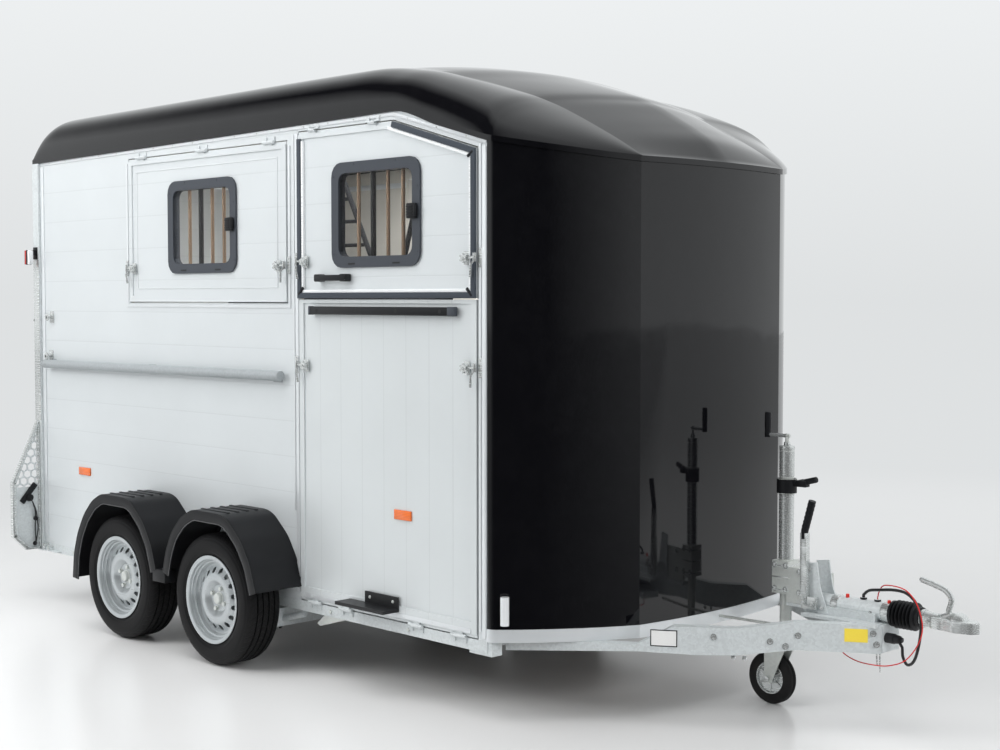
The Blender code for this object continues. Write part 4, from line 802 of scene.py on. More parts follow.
@dataclass
class Cords:
    """The lighting cable with its parked plug and the red cable that works the brake."""

    electric: tuple[Point, ...] = (
        (4.47, 0.0, 0.5043), (4.47, 0.0, 0.514), (4.504, -0.016, 0.536), (4.56, -0.036, 0.548),
        (4.634, -0.056, 0.56), (4.696, -0.071, 0.556), (4.74, -0.079, 0.52), (4.757, -0.082, 0.455),
        (4.749, -0.081, 0.381), (4.728, -0.076, 0.32), (4.696, -0.066, 0.298), (4.668, -0.05, 0.318),
        (4.656, -0.036, 0.35), (4.636, -0.03, 0.372))
    plug: tuple[Point, Point] = ((4.645, -0.03, 0.375), (4.5873, -0.03, 0.375))
    brake: tuple[Point, ...] = (
        (4.53, 0.0, 0.5043), (4.53, 0.0, 0.512), (4.541, -0.008, 0.536), (4.58, -0.038, 0.568),
        (4.668, -0.082, 0.578), (4.718, -0.096, 0.564), (4.757, -0.102, 0.52), (4.776, -0.104, 0.45),
        (4.757, -0.102, 0.386), (4.705, -0.096, 0.321), (4.64, -0.086, 0.29), (4.575, -0.07, 0.276),
        (4.48, -0.05, 0.272), (4.408, -0.032, 0.287), (4.396, -0.03, 0.308), (4.396, -0.03, 0.3217))
    electric_r: float = 0.0055
    brake_r: float = 0.0022

    def build_plug(self) -> bpy.types.Object:
        """The plug: a stepped body with a ring of grip ribs and a flat seat."""
        entry, seat = (at(*end) for end in self.plug)
        along = (seat - entry).normalized()
        shape = bmesh.new()
        add_rod(shape, entry - along * 0.009, entry + along * 0.004, 0.0092, 28, 0.0112, 0.001)
        add_rod(shape, entry, entry + along * 0.022, 0.0142, 32, 0.017, 0.0015)
        add_rod(shape, entry + along * 0.022, seat, 0.0189, 36, 0.0189, 0.0012)
        for index in range(12):
            out = turned("X", index, 12, Vector((0.0, 0.0, 0.0168)))
            add_rod(shape, entry + out + along * 0.024, entry + out + along * 0.046, 0.0026, 8)
        return settle("lighting_plug", shape, "black_plastic")

    def build(self) -> None:
        """Makes both cables, and the plug at the lighting cable's end."""
        for name, node, points, radius, finish, far_end, stiffness in (
                ("lighting_cable", "electric_cable", self.electric, self.electric_r, "cable_black", "plug", "medium"),
                ("brake_cable", "breakaway_cable", self.brake, self.brake_r, "cable_red", "object", "stiff")):
            route = smooth_route(points)
            piece = cable(name, route, radius, finish)
            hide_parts(node)
            ends = {"with_pieces": [self.build_plug()]} if far_end == "plug" else {}


def dress_frame(finishes: dict[str, str]) -> None:
    """Gives each CAD node its finish.

    Args:
        finishes: the nodes that take another finish than their record's slot.
    """
    slots = {part["node"]: part["material_slot"] for part in frame["record"]["subparts"]}
    for name, node in frame["nodes"].items():
        finish = finishes.get(name, slots.get(name, "galvanised"))
        node.data.materials.clear()
        node.data.materials.append(MATERIALS[finish])


@dataclass
class Wheels:
    """The four road wheels: grooved tyres and slotted rims."""

    track: float = 1.0605
    radius: float = WHEEL_RADIUS
    width: float = 0.185
    flange: float = 0.1947
    seat: float = 0.179
    rim_half: float = 0.0875
    disc_in: float = 0.05
    slots: int = 16

    def tyre_profile(self) -> list[Spot]:
        """The tyre's section: radius and place across, with four grooves in the tread."""
        half, top = self.width / 2, self.radius - 0.0012
        bead = self.rim_half - 0.009
        points = [(self.seat + 0.0006, -bead + 0.002), (self.seat + 0.01, -bead - 0.002), (0.197, -bead - 0.001),
                  (0.206, -half + 0.006), (0.222, -half + 0.0016), (0.246, -half + 0.0002), (0.262, -half + 0.003),
                  (0.276, -half + 0.01), (0.285, -half + 0.019), (top - 0.002, -half + 0.028)]
        for groove in (-0.044, -0.015, 0.015, 0.044):
            points += [(top - depth, groove + reach) for depth, reach in (
                (0.0, -0.0045), (0.007, -0.003), (0.007, 0.003), (0.0, 0.0045))]
        mirrored = [(radius, -place) for radius, place in reversed(points[:10])]
        return points + mirrored

    def build_tyre(self, name: str, hub: Vector, body: str) -> None:
        """Makes one tyre with its map round the axle."""
        shape = bmesh.new()
        add_spun(shape, self.tyre_profile(), hub, Axis.Y, 96)
        uv = shape.loops.layers.uv.new("round")
        for face in shape.faces:
            places = [loop.vert.co - hub for loop in face.loops]
            turns = [(math.atan2(place.z, place.x) / (2 * math.pi)) % 1.0 for place in places]
            wrap = max(turns) - min(turns) > 0.5
            for loop, place, turn in zip(face.loops, places, turns):
                turn += 1.0 if wrap and turn < 0.5 else 0.0
                loop[uv].uv = (turn, 0.5 + place.y / self.width * 0.5)
        piece = settle(f"{name}_tyre_tread", shape, "tyre_rubber", body, 40.0)
        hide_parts(f"{name}_tyre")

    def rim_profile(self, sign: int) -> list[Spot]:
        """The rim's section, its outer side towards the sign."""
        flange, seat, half = self.flange, self.seat, self.rim_half
        disc = half - self.disc_in
        wall = 0.004
        points = [
            (0.0305, disc + 0.004), (0.04, disc + 0.0032), (0.058, disc + 0.003), (0.07, disc + 0.013),
            (0.079, disc + 0.0235), (0.085, disc + 0.026), (0.105, disc + 0.026), (0.112, disc + 0.0235),
            (0.126, disc + 0.014), (0.14, disc + 0.004), (0.15, disc + 0.0026), (0.156, disc + 0.003),
            (0.1605, disc + 0.009), (0.162, disc + 0.019), (0.1685, disc + 0.0205), (0.1705, disc + 0.024),
            (0.1712, half - 0.018), (seat - wall, half - 0.014), (seat - wall, half - 0.01),
            (seat - 0.001, half - 0.004), (0.186, half - 0.0008), (0.1915, half), (flange, half - 0.0012),
            (flange, half - 0.004),
            (0.19, half - 0.005), (0.183, half - 0.0065), (seat, half - 0.0095), (seat, -half + 0.0085),
            (0.187, -half + 0.006), (flange, -half + 0.004), (flange, -half + 0.001), (0.19, -half),
            (seat - wall, -half + 0.008), (seat - wall, 0.0), (0.171, disc - 0.01), (0.16, disc - wall),
            (0.142, disc - wall), (0.108, disc + 0.022), (0.084, disc + 0.022), (0.058, disc - 0.003),
            (0.0305, disc - 0.0035)]
        return [(radius, place * sign) for radius, place in points]

    def cut_slots(self, piece: bpy.types.Object, hub: Vector) -> None:
        """Cuts the ring of slots through the disc."""
        shape = bmesh.new()
        for index in range(self.slots):
            turn = Matrix.Rotation(2 * math.pi * (index + 0.5) / self.slots, 4, "Y")
            made = bmesh.ops.create_cone(
                shape, cap_ends=True, segments=20, radius1=0.0112, radius2=0.0112, depth=0.2,
                matrix=Matrix.Rotation(math.pi / 2, 4, "X"))["verts"]
            bmesh.ops.scale(shape, vec=(1.0, 1.0, 1.14), verts=made)
            bmesh.ops.translate(shape, vec=(0.0, 0.0, 0.127), verts=made)
            bmesh.ops.transform(shape, matrix=Matrix.Translation(hub) @ turn, verts=made)
        cutter = link(bpy.data.objects.new("slot_cutter", bake("slot_cutter", shape)))
        cut = piece.modifiers.new("Slots", "BOOLEAN")
        cut.operation = "DIFFERENCE"
        cut.object = cutter
        cut.solver = "EXACT"
        graph = bpy.context.evaluated_depsgraph_get()
        piece.data = bpy.data.meshes.new_from_object(piece.evaluated_get(graph))
        piece.modifiers.clear()
        piece.data.shade_smooth()
        piece.data.set_sharp_from_angle(angle=math.radians(32))
        bpy.data.objects.remove(cutter, do_unlink=True)

    def build_rim(self, name: str, hub: Vector, sign: int, body: str) -> None:
        """Makes one rim with its bearing cap and wheel bolts."""
        shape = bmesh.new()
        add_spun(shape, self.rim_profile(sign), hub, Axis.Y, 96)
        piece = settle(f"{name}_rim_disc", shape, "wheel_silver", body, 32.0)
        self.cut_slots(piece, hub)
        disc = self.rim_half - self.disc_in
        shape = bmesh.new()
        cap = [(0.0, disc + 0.0235), (0.014, disc + 0.0228), (0.0225, disc + 0.0195), (0.0252, disc + 0.014),
               (0.0255, disc + 0.006), (0.03, disc + 0.005), (0.0302, disc - 0.003), (0.0, disc - 0.003)]
        add_spun(shape, [(r, p * sign) for r, p in cap], hub, Axis.Y, 48, closed=False)
        settle(f"{name}_hub_cap", shape, "zinc_plate", body)
        shape = bmesh.new()
        for index in range(4):
            spot = hub + turned("Y", index + 0.25, 4, Vector((0.049, 0.0, 0.0)))
            near = spot + Vector((0.0, sign * (disc + 0.002), 0.0))
            add_bolt(shape, near, Vector((0.0, sign, 0.0)), (0.004, 0.0125, 0.0105), (0.014, 0.0098))
        settle(f"{name}_bolts", shape, "zinc_plate", body)
        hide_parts(f"{name}_rim")

    def build(self) -> None:
        """Makes all four wheels."""
        for place, x in AXLES_X.items():
            for side in Side:
                name = f"{place}_{side.word}"
                hub = at(x, side.value * self.track, self.radius)
                self.build_tyre(name, hub, f"{name}_wheel")
                self.build_rim(name, hub, side.value, f"{name}_wheel")


@dataclass
class Shells:
    """The smooth roof and nose mouldings, from the sections that shape them."""

    post_x: float = 3.402
    corner: Spot = (3.44, 0.905)
    fold: Spot = (3.762, 0.452)
    bows: tuple[float, float, float] = (0.005, 0.022, 0.038)
    skirt: float = 0.022
    wall: float = 0.008
    back: tuple[tuple[float, ...], ...] = (
        (-0.07, -0.07, 0.74, 2.352, -0.07, 2.352), (-0.045, -0.066, 0.73, 2.44, -0.066, 2.47),
        (0.02, -0.01, 0.725, 2.53, -0.01, 2.575), (0.16, 0.14, 0.72, 2.568, 0.14, 2.625),
        (0.8, 0.8, 0.72, 2.571, 0.8, 2.634), (1.5, 1.5, 0.72, 2.573, 1.5, 2.638),
        (2.1, 2.1, 0.72, 2.575, 2.1, 2.638), (2.6, 2.6, 0.712, 2.575, 2.6, 2.634),
        (2.87, 2.86, 0.68, 2.548, 2.86, 2.602), (3.13, 3.02, 0.602, 2.506, 3.08, 2.543))
    nose: tuple[tuple[float, ...], ...] = (
        (3.28, 0.53, 2.42, 3.36, 2.456), (3.33, 0.508, 2.397, 3.41, 2.432), (3.38, 0.494, 2.374, 3.46, 2.41),
        (3.475, 0.484, 2.327, 3.55, 2.36), (3.575, 0.477, 2.275, 3.645, 2.305), (3.67, 0.467, 2.222, 3.735, 2.246))

    def eave(self, x: float) -> float:
        """The height of the roof's lower edge at a place along X."""
        stops = ((-0.07, 2.33), (2.87, 2.362), (3.402, 2.21), (3.762, 2.137))
        for (x0, z0), (x1, z1) in zip(stops, stops[1:]):
            if x <= x1:
                return z0 + (z1 - z0) * (x - x0) / (x1 - x0)
        return stops[-1][1]

    def bowed(self, start: Vector, end: Vector, bow: float, steps: int) -> list[Vector]:
        """Points of a shallow arc, without its end."""
        chord = end - start
        out = Vector((chord.y, -chord.x)).normalized()
        out = -out if out.x < 0 else out
        return [start + chord * (s / steps) + out * 4 * bow * (s / steps) * (1 - s / steps) for s in range(steps)]

    def plan(self, offset: float, finer: int = 1) -> list[Vector]:
        """The nose's outline in plan from the right post to the left one, moved outwards.

        Args:
            offset: how far it is moved.
            finer: how many times finer than the nose's own stations.

        Returns:
            Its points.
        """
        post, corner = Vector((self.post_x, -WALL_Y)), Vector((self.corner[0], -self.corner[1]))
        fold = Vector((self.fold[0], -self.fold[1]))
        half = self.bowed(post, corner, self.bows[0], 2 * finer) + self.bowed(corner, fold, self.bows[1], 4 * finer)
        front = self.bowed(fold, Vector((fold.x, -fold.y)), self.bows[2], 6 * finer)
        path = half + front + [Vector((fold.x, -fold.y))] + [Vector((p.x, -p.y)) for p in reversed(half)]
        moved = []
        for index, point in enumerate(path):
            ways = [(b - a).normalized() for a, b in zip(path[max(0, index - 1):index + 1], path[index:index + 2])]
            if index == 0 or index == len(path) - 1:
                ways = [(path[min(index + 1, len(path) - 1)] - path[max(index - 1, 0)]).normalized()]
            normals = [Vector((way.y, -way.x)) for way in ways]
            total = sum(normals, Vector((0.0, 0.0))).normalized()
            moved.append(point + total * offset / max(0.5, total.dot(normals[0])))
        return moved

    def stations(self, finer: int) -> list[tuple[float, ...]]:
        """The roof's sections with smooth ones between: eave point, crease, crown and sharpness."""
        out = self.wall + 0.001
        rows = [(x, -(WALL_Y + out), self.eave(x) + self.skirt, cx, -cy, cz, px, pz, 0.0)
                for x, cx, cy, cz, px, pz in self.back]
        plan = self.plan(out)
        sharp = (0.35, 0.6, 0.8, 1.0, 1.0, 1.0)
        for point, (cx, cy, cz, px, pz), share in zip(plan, self.nose, sharp):
            rows.append((point.x, point.y, self.eave(point.x) + self.skirt, cx, -cy, cz, px, pz, share))
        corner = plan[len(self.nose)]
        front = self.fold[0] + self.bows[2] + out
        low = 2.137 + self.skirt
        rows.append((corner.x, corner.y, low, corner.x, corner.y, low, front, low, 1.0))
        ends = [rows[0]] + rows + [rows[-1]]
        found = []
        for a, b, c, d in zip(ends, ends[1:], ends[2:], ends[3:]):
            for step in range(finer):
                t = step / finer
                found.append(tuple(self.between(*values, t) for values in zip(a, b, c, d)))
        return found + [rows[-1]]

    def between(self, before: float, start: float, end: float, after: float, t: float) -> float:
        """A value on the curve from start to end that never overshoots them."""
        left, step, right = start - before, end - start, after - end
        m0 = 0.0 if left * step <= 0 else 2 * left * step / (left + step)
        m1 = 0.0 if step * right <= 0 else 2 * step * right / (step + right)
        return (start * (2 * t ** 3 - 3 * t ** 2 + 1) + m0 * (t ** 3 - 2 * t ** 2 + t)
                + end * (3 * t ** 2 - 2 * t ** 3) + m1 * (t ** 3 - t ** 2))

    def section(self, row: tuple[float, ...], shoulder: int, crown: int) -> list[Vector]:
        """One section from the right eave over the crown to the left one."""
        ex, ey, ez, cx, cy, cz, px, pz, share = row
        eave, crease, top = at(ex, ey, ez), at(cx, cy, cz), at(px, 0.0, pz)
        pull = at(ex * 0.6 + cx * 0.4, ey, cz).lerp(eave.lerp(crease, 0.5), 0.45 * share)
        lift = at((cx + px) / 2, cy / 2, pz)
        half = []
        for steps, (a, b, c) in ((shoulder, (eave, pull, crease)), (crown, (crease, lift, top))):
            for step in range(steps):
                t = step / steps
                half.append(a * (1 - t) ** 2 + b * 2 * t * (1 - t) + c * t * t)
        if share >= 1.0 and abs(cx - ex) < 1e-6:
            half = [eave] * shoulder
            for step in range(crown):
                y = ey * (1 - step / crown)
                half.append(at(ex + (px - ex) * (1 - (y / ey) ** 2), y, ez))
        return half + [top] + [Vector((p.x, -p.y, p.z)) for p in reversed(half)]

    def build_roof(self) -> None:
        """The roof: finer sections, the crease sharp down the nose, a skirt and the wall's thickness."""
        finer, shoulder, crown = 6, 12, 10
        rows = [self.section(row, shoulder, crown) for row in self.stations(finer)]
        shape = bmesh.new()
        grid = [[shape.verts.new(p) for p in row] for row in rows]
        for near, far in zip(grid, grid[1:]):
            for index in range(len(near) - 1):
                shape.faces.new((near[index], near[index + 1], far[index + 1], far[index]))
        first = (len(self.back) - 2) * finer
        marks = {shoulder, len(grid[0]) - 1 - shoulder}
        for near, far in zip(grid[first:], grid[first + 1:]):
            for index in marks:
                shape.edges.get((near[index], far[index])).smooth = False
        bmesh.ops.remove_doubles(shape, verts=shape.verts, dist=0.0001)
        rim = [edge for edge in shape.edges if edge.is_boundary]
        for edge in rim:
            edge.smooth = False
        drop = bmesh.ops.extrude_edge_only(shape, edges=rim)["geom"]
        verts = [v for v in drop if isinstance(v, bmesh.types.BMVert)]
        bmesh.ops.translate(shape, vec=(0.0, 0.0, -self.skirt), verts=verts)
        bmesh.ops.recalc_face_normals(shape, faces=shape.faces)
        if sum(face.normal.z for face in shape.faces) < 0:
            bmesh.ops.reverse_faces(shape, faces=shape.faces)
        mesh = bake("roof_moulding", shape)
        mesh.shade_smooth()
        roof = dress(bpy.data.objects.new("roof_moulding", mesh), "black_gelcoat")
        wall = roof.modifiers.new("Wall", "SOLIDIFY")
        wall.thickness = self.wall
        wall.offset = -1.0
        wall.use_even_offset = True
        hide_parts("roof_shell")

    def build_nose(self) -> None:
        """The nose shell and the bright trim round its foot."""
        for name, node, finish, offset, wall, low, top in (
                ("nose_moulding", "nose_shell", "black_gelcoat", 0.0, 0.01, 0.312, None),
                ("nose_foot_trim", "nose_trim", "edge_aluminium", 0.0045, 0.004, 0.31, 0.36)):
            shape = bmesh.new()
            outer, inner = self.plan(offset, 4), self.plan(offset - wall, 4)
            loops = []
            for path, high in ((outer, False), (outer, True), (inner, True), (inner, False)):
                line = []
                for point in path:
                    x = max(point.x, self.post_x + 0.0003)
                    z = low if not high else (self.eave(x) + 0.015 if top is None else top)
                    line.append(shape.verts.new(at(x, point.y, z)))
                loops.append(line)
            for here, after in zip(loops, loops[1:] + loops[:1]):
                for index in range(len(here) - 1):
                    shape.faces.new((here[index], here[index + 1], after[index + 1], after[index]))
            shape.faces.new([line[0] for line in loops])
            shape.faces.new([line[-1] for line in reversed(loops)])
            piece = settle(name, shape, finish, "trailer", 9.0)
            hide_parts(node)

    def build(self) -> None:
        """Makes both shells."""
        self.build_roof()
        self.build_nose()


@dataclass(frozen=True)
class Latch:
    """Where an over-centre latch sits: its knob, its wall plate and the panel that it holds."""

    x: float
    z: float
    plate_x: float
    body: str


def add_ribbon(
        shape: Shape, side: Side, path: Sequence[Spot], width: float, near: float,
        far: float, closed: bool = False, bevel: float = 0.0) -> None:
    """Adds a mitred strip on a side wall.

    Args:
        shape: the bmesh.
        side: the wall's side.
        path: places along X and Z; the strip lies to their left.
        width: the strip's width.
        near: its back's distance from the wall's face.
        far: its front's distance from the wall's face.
        closed: whether the last place joins the first.
        bevel: the rounding of its front edges.
    """
    spots = [Vector(p) for p in path]
    count = len(spots)
    inner = []
    for index, spot in enumerate(spots):
        ways = []
        if closed or index > 0:
            ways.append((spot - spots[index - 1]).normalized())
        if closed or index < count - 1:
            ways.append((spots[(index + 1) % count] - spot).normalized())
        normals = [Vector((-way.y, way.x)) for way in ways]
        total = sum(normals, Vector((0.0, 0.0))).normalized()
        inner.append(spot + total * (width / total.dot(normals[0])))
    back = side.value * (WALL_Y + near)
    outer, inner = ([shape.verts.new(at(p.x, back, p.y)) for p in row] for row in (spots, inner))
    faces = []
    for index in range(count if closed else count - 1):
        after = (index + 1) % count
        faces.append(shape.faces.new((outer[index], outer[after], inner[after], inner[index])))
    ease(shape, rims_of(set(grow(shape, faces, Vector((0.0, side.value * (far - near), 0.0))))), bevel)


def add_wall_block(
        shape: Shape, side: Side, x: Spot, z: Spot,
        depth: Spot, bevel: float = 0.0015) -> None:
    """Adds a block on a side wall, its depth measured outwards from the wall's face."""
    y = sorted(side.value * (WALL_Y + d) for d in depth)
    add_block(shape, at(x[0], y[0], z[0]), at(x[1], y[1], z[1]), bevel)


@dataclass
class WallTrim:
    """Profiles, seals, latches, window catches, reflectors and rivets of one side."""

    side: Side
    flap: tuple[float, float, float, float] = (0.884, 2.16, 1.6, 2.294)
    exit_x: Spot = (2.25, 3.35)
    exit_low: float = 1.617
    exit_top: float = 2.325
    exit_bend: float = 2.863
    exit_cut: float = 2.184
    door: tuple[float, float, float, float] = (2.56, 3.24, 0.36, 2.1)

    def wall(
            self, shape: Shape, path: Sequence[Spot], width: float, near: float, far: float, closed: bool = False,
            bevel: float = 0.0008) -> None:
        """Adds a ribbon on this side."""
        add_ribbon(shape, self.side, path, width, near, far, closed, bevel)

    def block(self, shape: Shape, x: Spot, z: Spot, depth: Spot, bevel: float = 0.0015) -> None:
        """Adds a block on this side."""
        add_wall_block(shape, self.side, x, z, depth, bevel)

    def blocks(self, name: str, finish: str, body: str, *rows: tuple) -> bpy.types.Object:
        """A piece made of blocks on this side, each given as block takes it."""
        shape = bmesh.new()
        for row in rows:
            self.block(shape, *row)
        return settle(name, shape, finish, body, 30.0)

    def build_profiles(self) -> None:
        """The eave strip with its rivets, the edge profiles and the flap's surround."""
        word = self.side.word
        shape = bmesh.new()
        eave = [(0.004, 2.3162), (2.868, 2.344), (3.398, 2.195)]
        self.wall(shape, eave, 0.0155, 0.0003, 0.0034)
        self.block(shape, (0.002, 0.034), (0.345, 2.314), (0.0003, 0.0045))
        self.block(shape, (3.362, 3.374), (0.345, 2.2), (0.0003, 0.005))
        self.block(shape, (3.38, 3.401), (0.32, 2.19), (0.0003, 0.007))
        x0, x1, z0, z1 = self.flap
        ring = [(x0 - 0.026, z1 - 0.02), (x0 - 0.026, z0 - 0.026), (x1 + 0.026, z0 - 0.026), (x1 + 0.026, z1 - 0.02)]
        self.wall(shape, ring, 0.014, 0.0003, 0.0036)
        if self.side is Side.RIGHT:
            self.block(shape, (2.206, 2.214), (0.7, 2.318), (0.0003, 0.003))
            self.block(shape, (2.222, 2.243), (0.345, 2.322), (0.0003, 0.0045))
        else:
            dx0, dx1, dz0, dz1 = self.door
            loop = [(dx1 + 0.036, dz0 - 0.01), (dx1 + 0.036, dz1 + 0.026), (dx0 - 0.026, dz1 + 0.026),
                    (dx0 - 0.026, dz0 - 0.01)]
            self.wall(shape, loop, 0.014, 0.0003, 0.0036)
        settle(f"{word}_wall_profiles", shape, "edge_aluminium", "trailer", 30.0)
        shape = bmesh.new()
        y = self.side.value * WALL_Y
        for index in range(20):
            x = 0.1 + index * 0.168
            low = 2.3162 + (min(x, 2.868) - 0.004) / 2.864 * 0.0278
            if x > 2.868:
                low = 2.344 - (x - 2.868) / 0.53 * 0.149
            near, far = (at(x, y + self.side.value * out, low + 0.0078) for out in (0.003, 0.0056))
            add_rod(shape, near, far, 0.0038, 12, 0.0024)
        settle(f"{word}_eave_rivets", shape, "zinc_plate")

    def build_flap(self) -> None:
        """The side flap's nested bead and its window catch."""
        word = self.side.word
        body = f"{word}_side_flap"
        x0, x1, z0, z1 = self.flap
        shape = bmesh.new()
        bead = [(x0 + 0.066, z0 + 0.062), (x1 - 0.066, z0 + 0.062), (x1 - 0.066, z1 - 0.062), (x0 + 0.066, z1 - 0.062)]
        self.wall(shape, bead, 0.006, 0.0003, 0.0022, True)
        lip = [(x0 + 0.002, z0 + 0.001), (x1 - 0.002, z0 + 0.001)]
        self.wall(shape, lip, 0.007, 0.0055, 0.009)
        settle(f"{word}_flap_bead", shape, "edge_aluminium", body, 30.0)
        self.build_window(f"{word}_flap_window", 1.514, 1.95, body)

    def build_window(self, name: str, x: float, z: float, body: str) -> None:
        """A window's sliding catch, its drain slots and the screws of its frame."""
        shape = bmesh.new()
        near = 0.0102
        front = x + 0.2765
        self.block(shape, (front - 0.064, front - 0.014), (z - 0.029, z + 0.031), (near, near + 0.015), 0.003)
        for step in range(4):
            low = z - 0.018 + step * 0.011
            self.block(shape, (front - 0.061, front - 0.024), (low, low + 0.006), (near + 0.014, near + 0.0185), 0.0012)
        self.block(shape, (front - 0.02, front - 0.01), (z - 0.02, z + 0.022), (near, near + 0.019), 0.002)
        for place in (-0.145, 0.135):
            self.block(
                shape, (x + place - 0.022, x + place + 0.022), (z - 0.205, z - 0.1985), (near - 0.0005, near + 0.0006),
                0.0)
        settle(f"{name}_catch", shape, "black_plastic", body, 30.0)
        y = self.side.value * (WALL_Y + near - 0.0002)
        rod_piece(f"{name}_screws", "slate_frame", [
            (at(x + px, y, z + pz), at(x + px, y + self.side.value * 0.0018, z + pz), 0.0038, 12, 0.003)
            for px, pz in (
                (-0.262, -0.16), (-0.262, 0.16), (0.262, -0.16), (0.262, 0.1), (-0.13, 0.2065), (0.13, 0.2065))
        ], body, 30.0)

    def build_exit(self) -> None:
        """The exit flap's seal and bright frame, its handle and window catch, the ramp bar's screws, buffer and caps,
        the seal's corners, the ramp's foot band and its step screws.
        """
        x0, x1 = self.exit_x
        low, cut, bend, top = self.exit_low, self.exit_cut, self.exit_bend, self.exit_top
        shape = bmesh.new()
        path = [(x0, top - 0.03), (x0, low), (x1, low), (x1, cut), (bend + 0.01, top - 0.003)]
        self.wall(shape, path, 0.023, 0.0063, 0.0165, bevel=0.002)
        settle("exit_flap_seal", shape, "slate_seal", "exit_flap", 30.0)
        shape = bmesh.new()
        inner = [(x0 + 0.0235, top - 0.04), (x0 + 0.0235, low + 0.0235), (x1 - 0.0235, low + 0.0235),
                 (x1 - 0.0235, cut - 0.019), (bend - 0.02, top - 0.021)]
        self.wall(shape, inner, 0.013, 0.0003, 0.0115, bevel=0.002)
        settle("exit_flap_frame", shape, "frame_white", "exit_flap", 30.0)
        self.blocks(
            "exit_flap_handle", "black_plastic", "exit_flap",
            ((2.3885, 2.5955), (1.69, 1.715), (0.0205, 0.0358), 0.005),
            ((2.387, 2.427), (1.6865, 1.7185), (0.0002, 0.034), 0.005),
            ((2.557, 2.597), (1.6865, 1.7185), (0.0002, 0.034), 0.005))
        self.build_window("exit_window", 2.756, 1.961, "exit_flap")
        y = -(WALL_Y + 0.0296)
        rod_piece("exit_ramp_bar_screws", "bar_black", [
            (at(x, y, 1.566), at(x, y - 0.0006, 1.566), 0.008, 20) for x in (2.401, 2.656, 2.908, 3.169)
        ], "exit_ramp", 30.0)
        bar = self.blocks(
            "exit_ramp_buffer", "black_plastic", "exit_ramp",
            ((2.35, 3.212), (1.549, 1.583), (0.0063, 0.0298), 0.004))
        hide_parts("exit_ramp_bar")
        self.blocks(
            "exit_ramp_buffer_ends", "slate_frame", "exit_ramp",
            ((3.21, 3.248), (1.5475, 1.5845), (0.0063, 0.031), 0.004),
            ((2.343, 2.356), (1.5475, 1.5845), (0.0063, 0.031), 0.003))
        shape = bmesh.new()
        for corner, way in (((x0, low), (1, 1)), ((x1, low), (-1, 1)), ((x1, cut), (-1, -0.6))):
            near = (corner[0] + way[0] * 0.012, corner[1] + way[1] * 0.012)
            far = (corner[0] + way[0] * 0.042, corner[1] + way[1] * 0.042)
            self.wall(shape, [near, far], 0.01, 0.01, 0.0172)
        settle("exit_flap_seal_corners", shape, "guard_black", "exit_flap", 30.0)
        shape = bmesh.new()
        self.block(shape, (x0 + 0.031, x1 - 0.031), (0.33, 0.348), (0.0063, 0.009), 0.001)
        for step in range(12):
            spot = at(x0 + 0.08 + step * 0.0855, -(WALL_Y + 0.009), 0.339)
            add_rod(shape, spot, spot - Vector((0.0, 0.0016, 0.0)), 0.0034, 12, 0.0024)
        settle("exit_ramp_foot_band", shape, "edge_aluminium", "exit_ramp", 30.0)
        y = -(WALL_Y + 0.0123)
        rod_piece("exit_step_screws", "zinc_plate", [
            (at(x, y, 0.39), at(x, y - 0.0034, 0.39), 0.0075, 18, 0.0045) for x in (2.722, 2.866)
        ], "exit_ramp", 35.0)

    def build_reflectors(self) -> None:
        """Orange side reflectors, each a thin block on the wall."""
        panel = "exit_ramp" if self.side is Side.RIGHT else "groom_door"
        for index, (x, z, body) in enumerate((
                ((0.369, 0.481), (0.705, 0.745), "trailer"), ((2.868, 2.971), (0.727, 0.767), panel))):
            self.blocks(f"{self.side.word}_reflector_{index}", "reflector_orange", body, (x, z, (0.0004, 0.0062)))

    def latches(self) -> list[Latch]:
        """The over-centre latches of this side."""
        flap = f"{self.side.word}_side_flap"
        found = [Latch(0.934, 1.762, 0.866, flap), Latch(2.108, 1.758, 2.178, flap)]
        if self.side is Side.RIGHT:
            found += [
                Latch(2.3, 1.772, 2.23, "exit_flap"), Latch(3.3, 1.77, 3.371, "exit_flap"),
                Latch(2.3, 1.33, 2.23, "exit_ramp"), Latch(3.3, 1.351, 3.371, "exit_ramp")]
        return found

    def build_latch(self, name: str, latch: Latch) -> None:
        """One latch: the knob, its draw arm and hanging lever, and the plate on the wall."""
        s = self.side.value
        y0 = s * (WALL_Y + 0.0064)
        away = 1.0 if latch.plate_x > latch.x else -1.0
        shape = bmesh.new()
        base = at(latch.x, y0, latch.z)
        out = Vector((0.0, s, 0.0))
        add_rod(shape, base, base + out * 0.016, 0.0115, 20, 0.0095, 0.001)
        add_rod(shape, base + out * 0.015, base + out * 0.024, 0.015, 24, 0.0135, 0.0015)
        for index in range(6):
            lobe = turned("Y", index, 6, Vector((0.0, 0.0, 0.0155)))
            add_rod(shape, base + lobe + out * 0.0155, base + lobe + out * 0.0235, 0.0048, 12, 0.0044)
        add_rod(shape, base + out * 0.023, base + out * 0.028, 0.0062, 16, 0.005)
        grip = base + Vector((away * 0.052, 0.0, 0.004)) + out * 0.012
        add_rod(shape, base + out * 0.01, grip, 0.0056, 12, 0.005)
        add_rod(shape, grip + Vector((0, 0, 0.016)), grip - Vector((0, 0, 0.018)), 0.0072, 14, 0.0072, 0.001)
        add_block(shape, base + Vector((-0.016, 0, -0.026)), base + Vector((0.016, s * 0.004, 0.026)), 0.0015)
        knee = grip + out * 0.011 + Vector((-away * 0.01, 0.0, -0.03))
        foot = knee + Vector((-away * 0.006, 0.0, -0.046)) - out * 0.004
        add_rod(shape, grip - Vector((0, 0, 0.012)), knee, 0.0038, 10, 0.0034)
        add_rod(shape, knee, foot, 0.0046, 10, 0.0052, 0.001)
        settle(f"{name}_arm", shape, "bright_zinc", latch.body, 35.0)
        shape = bmesh.new()
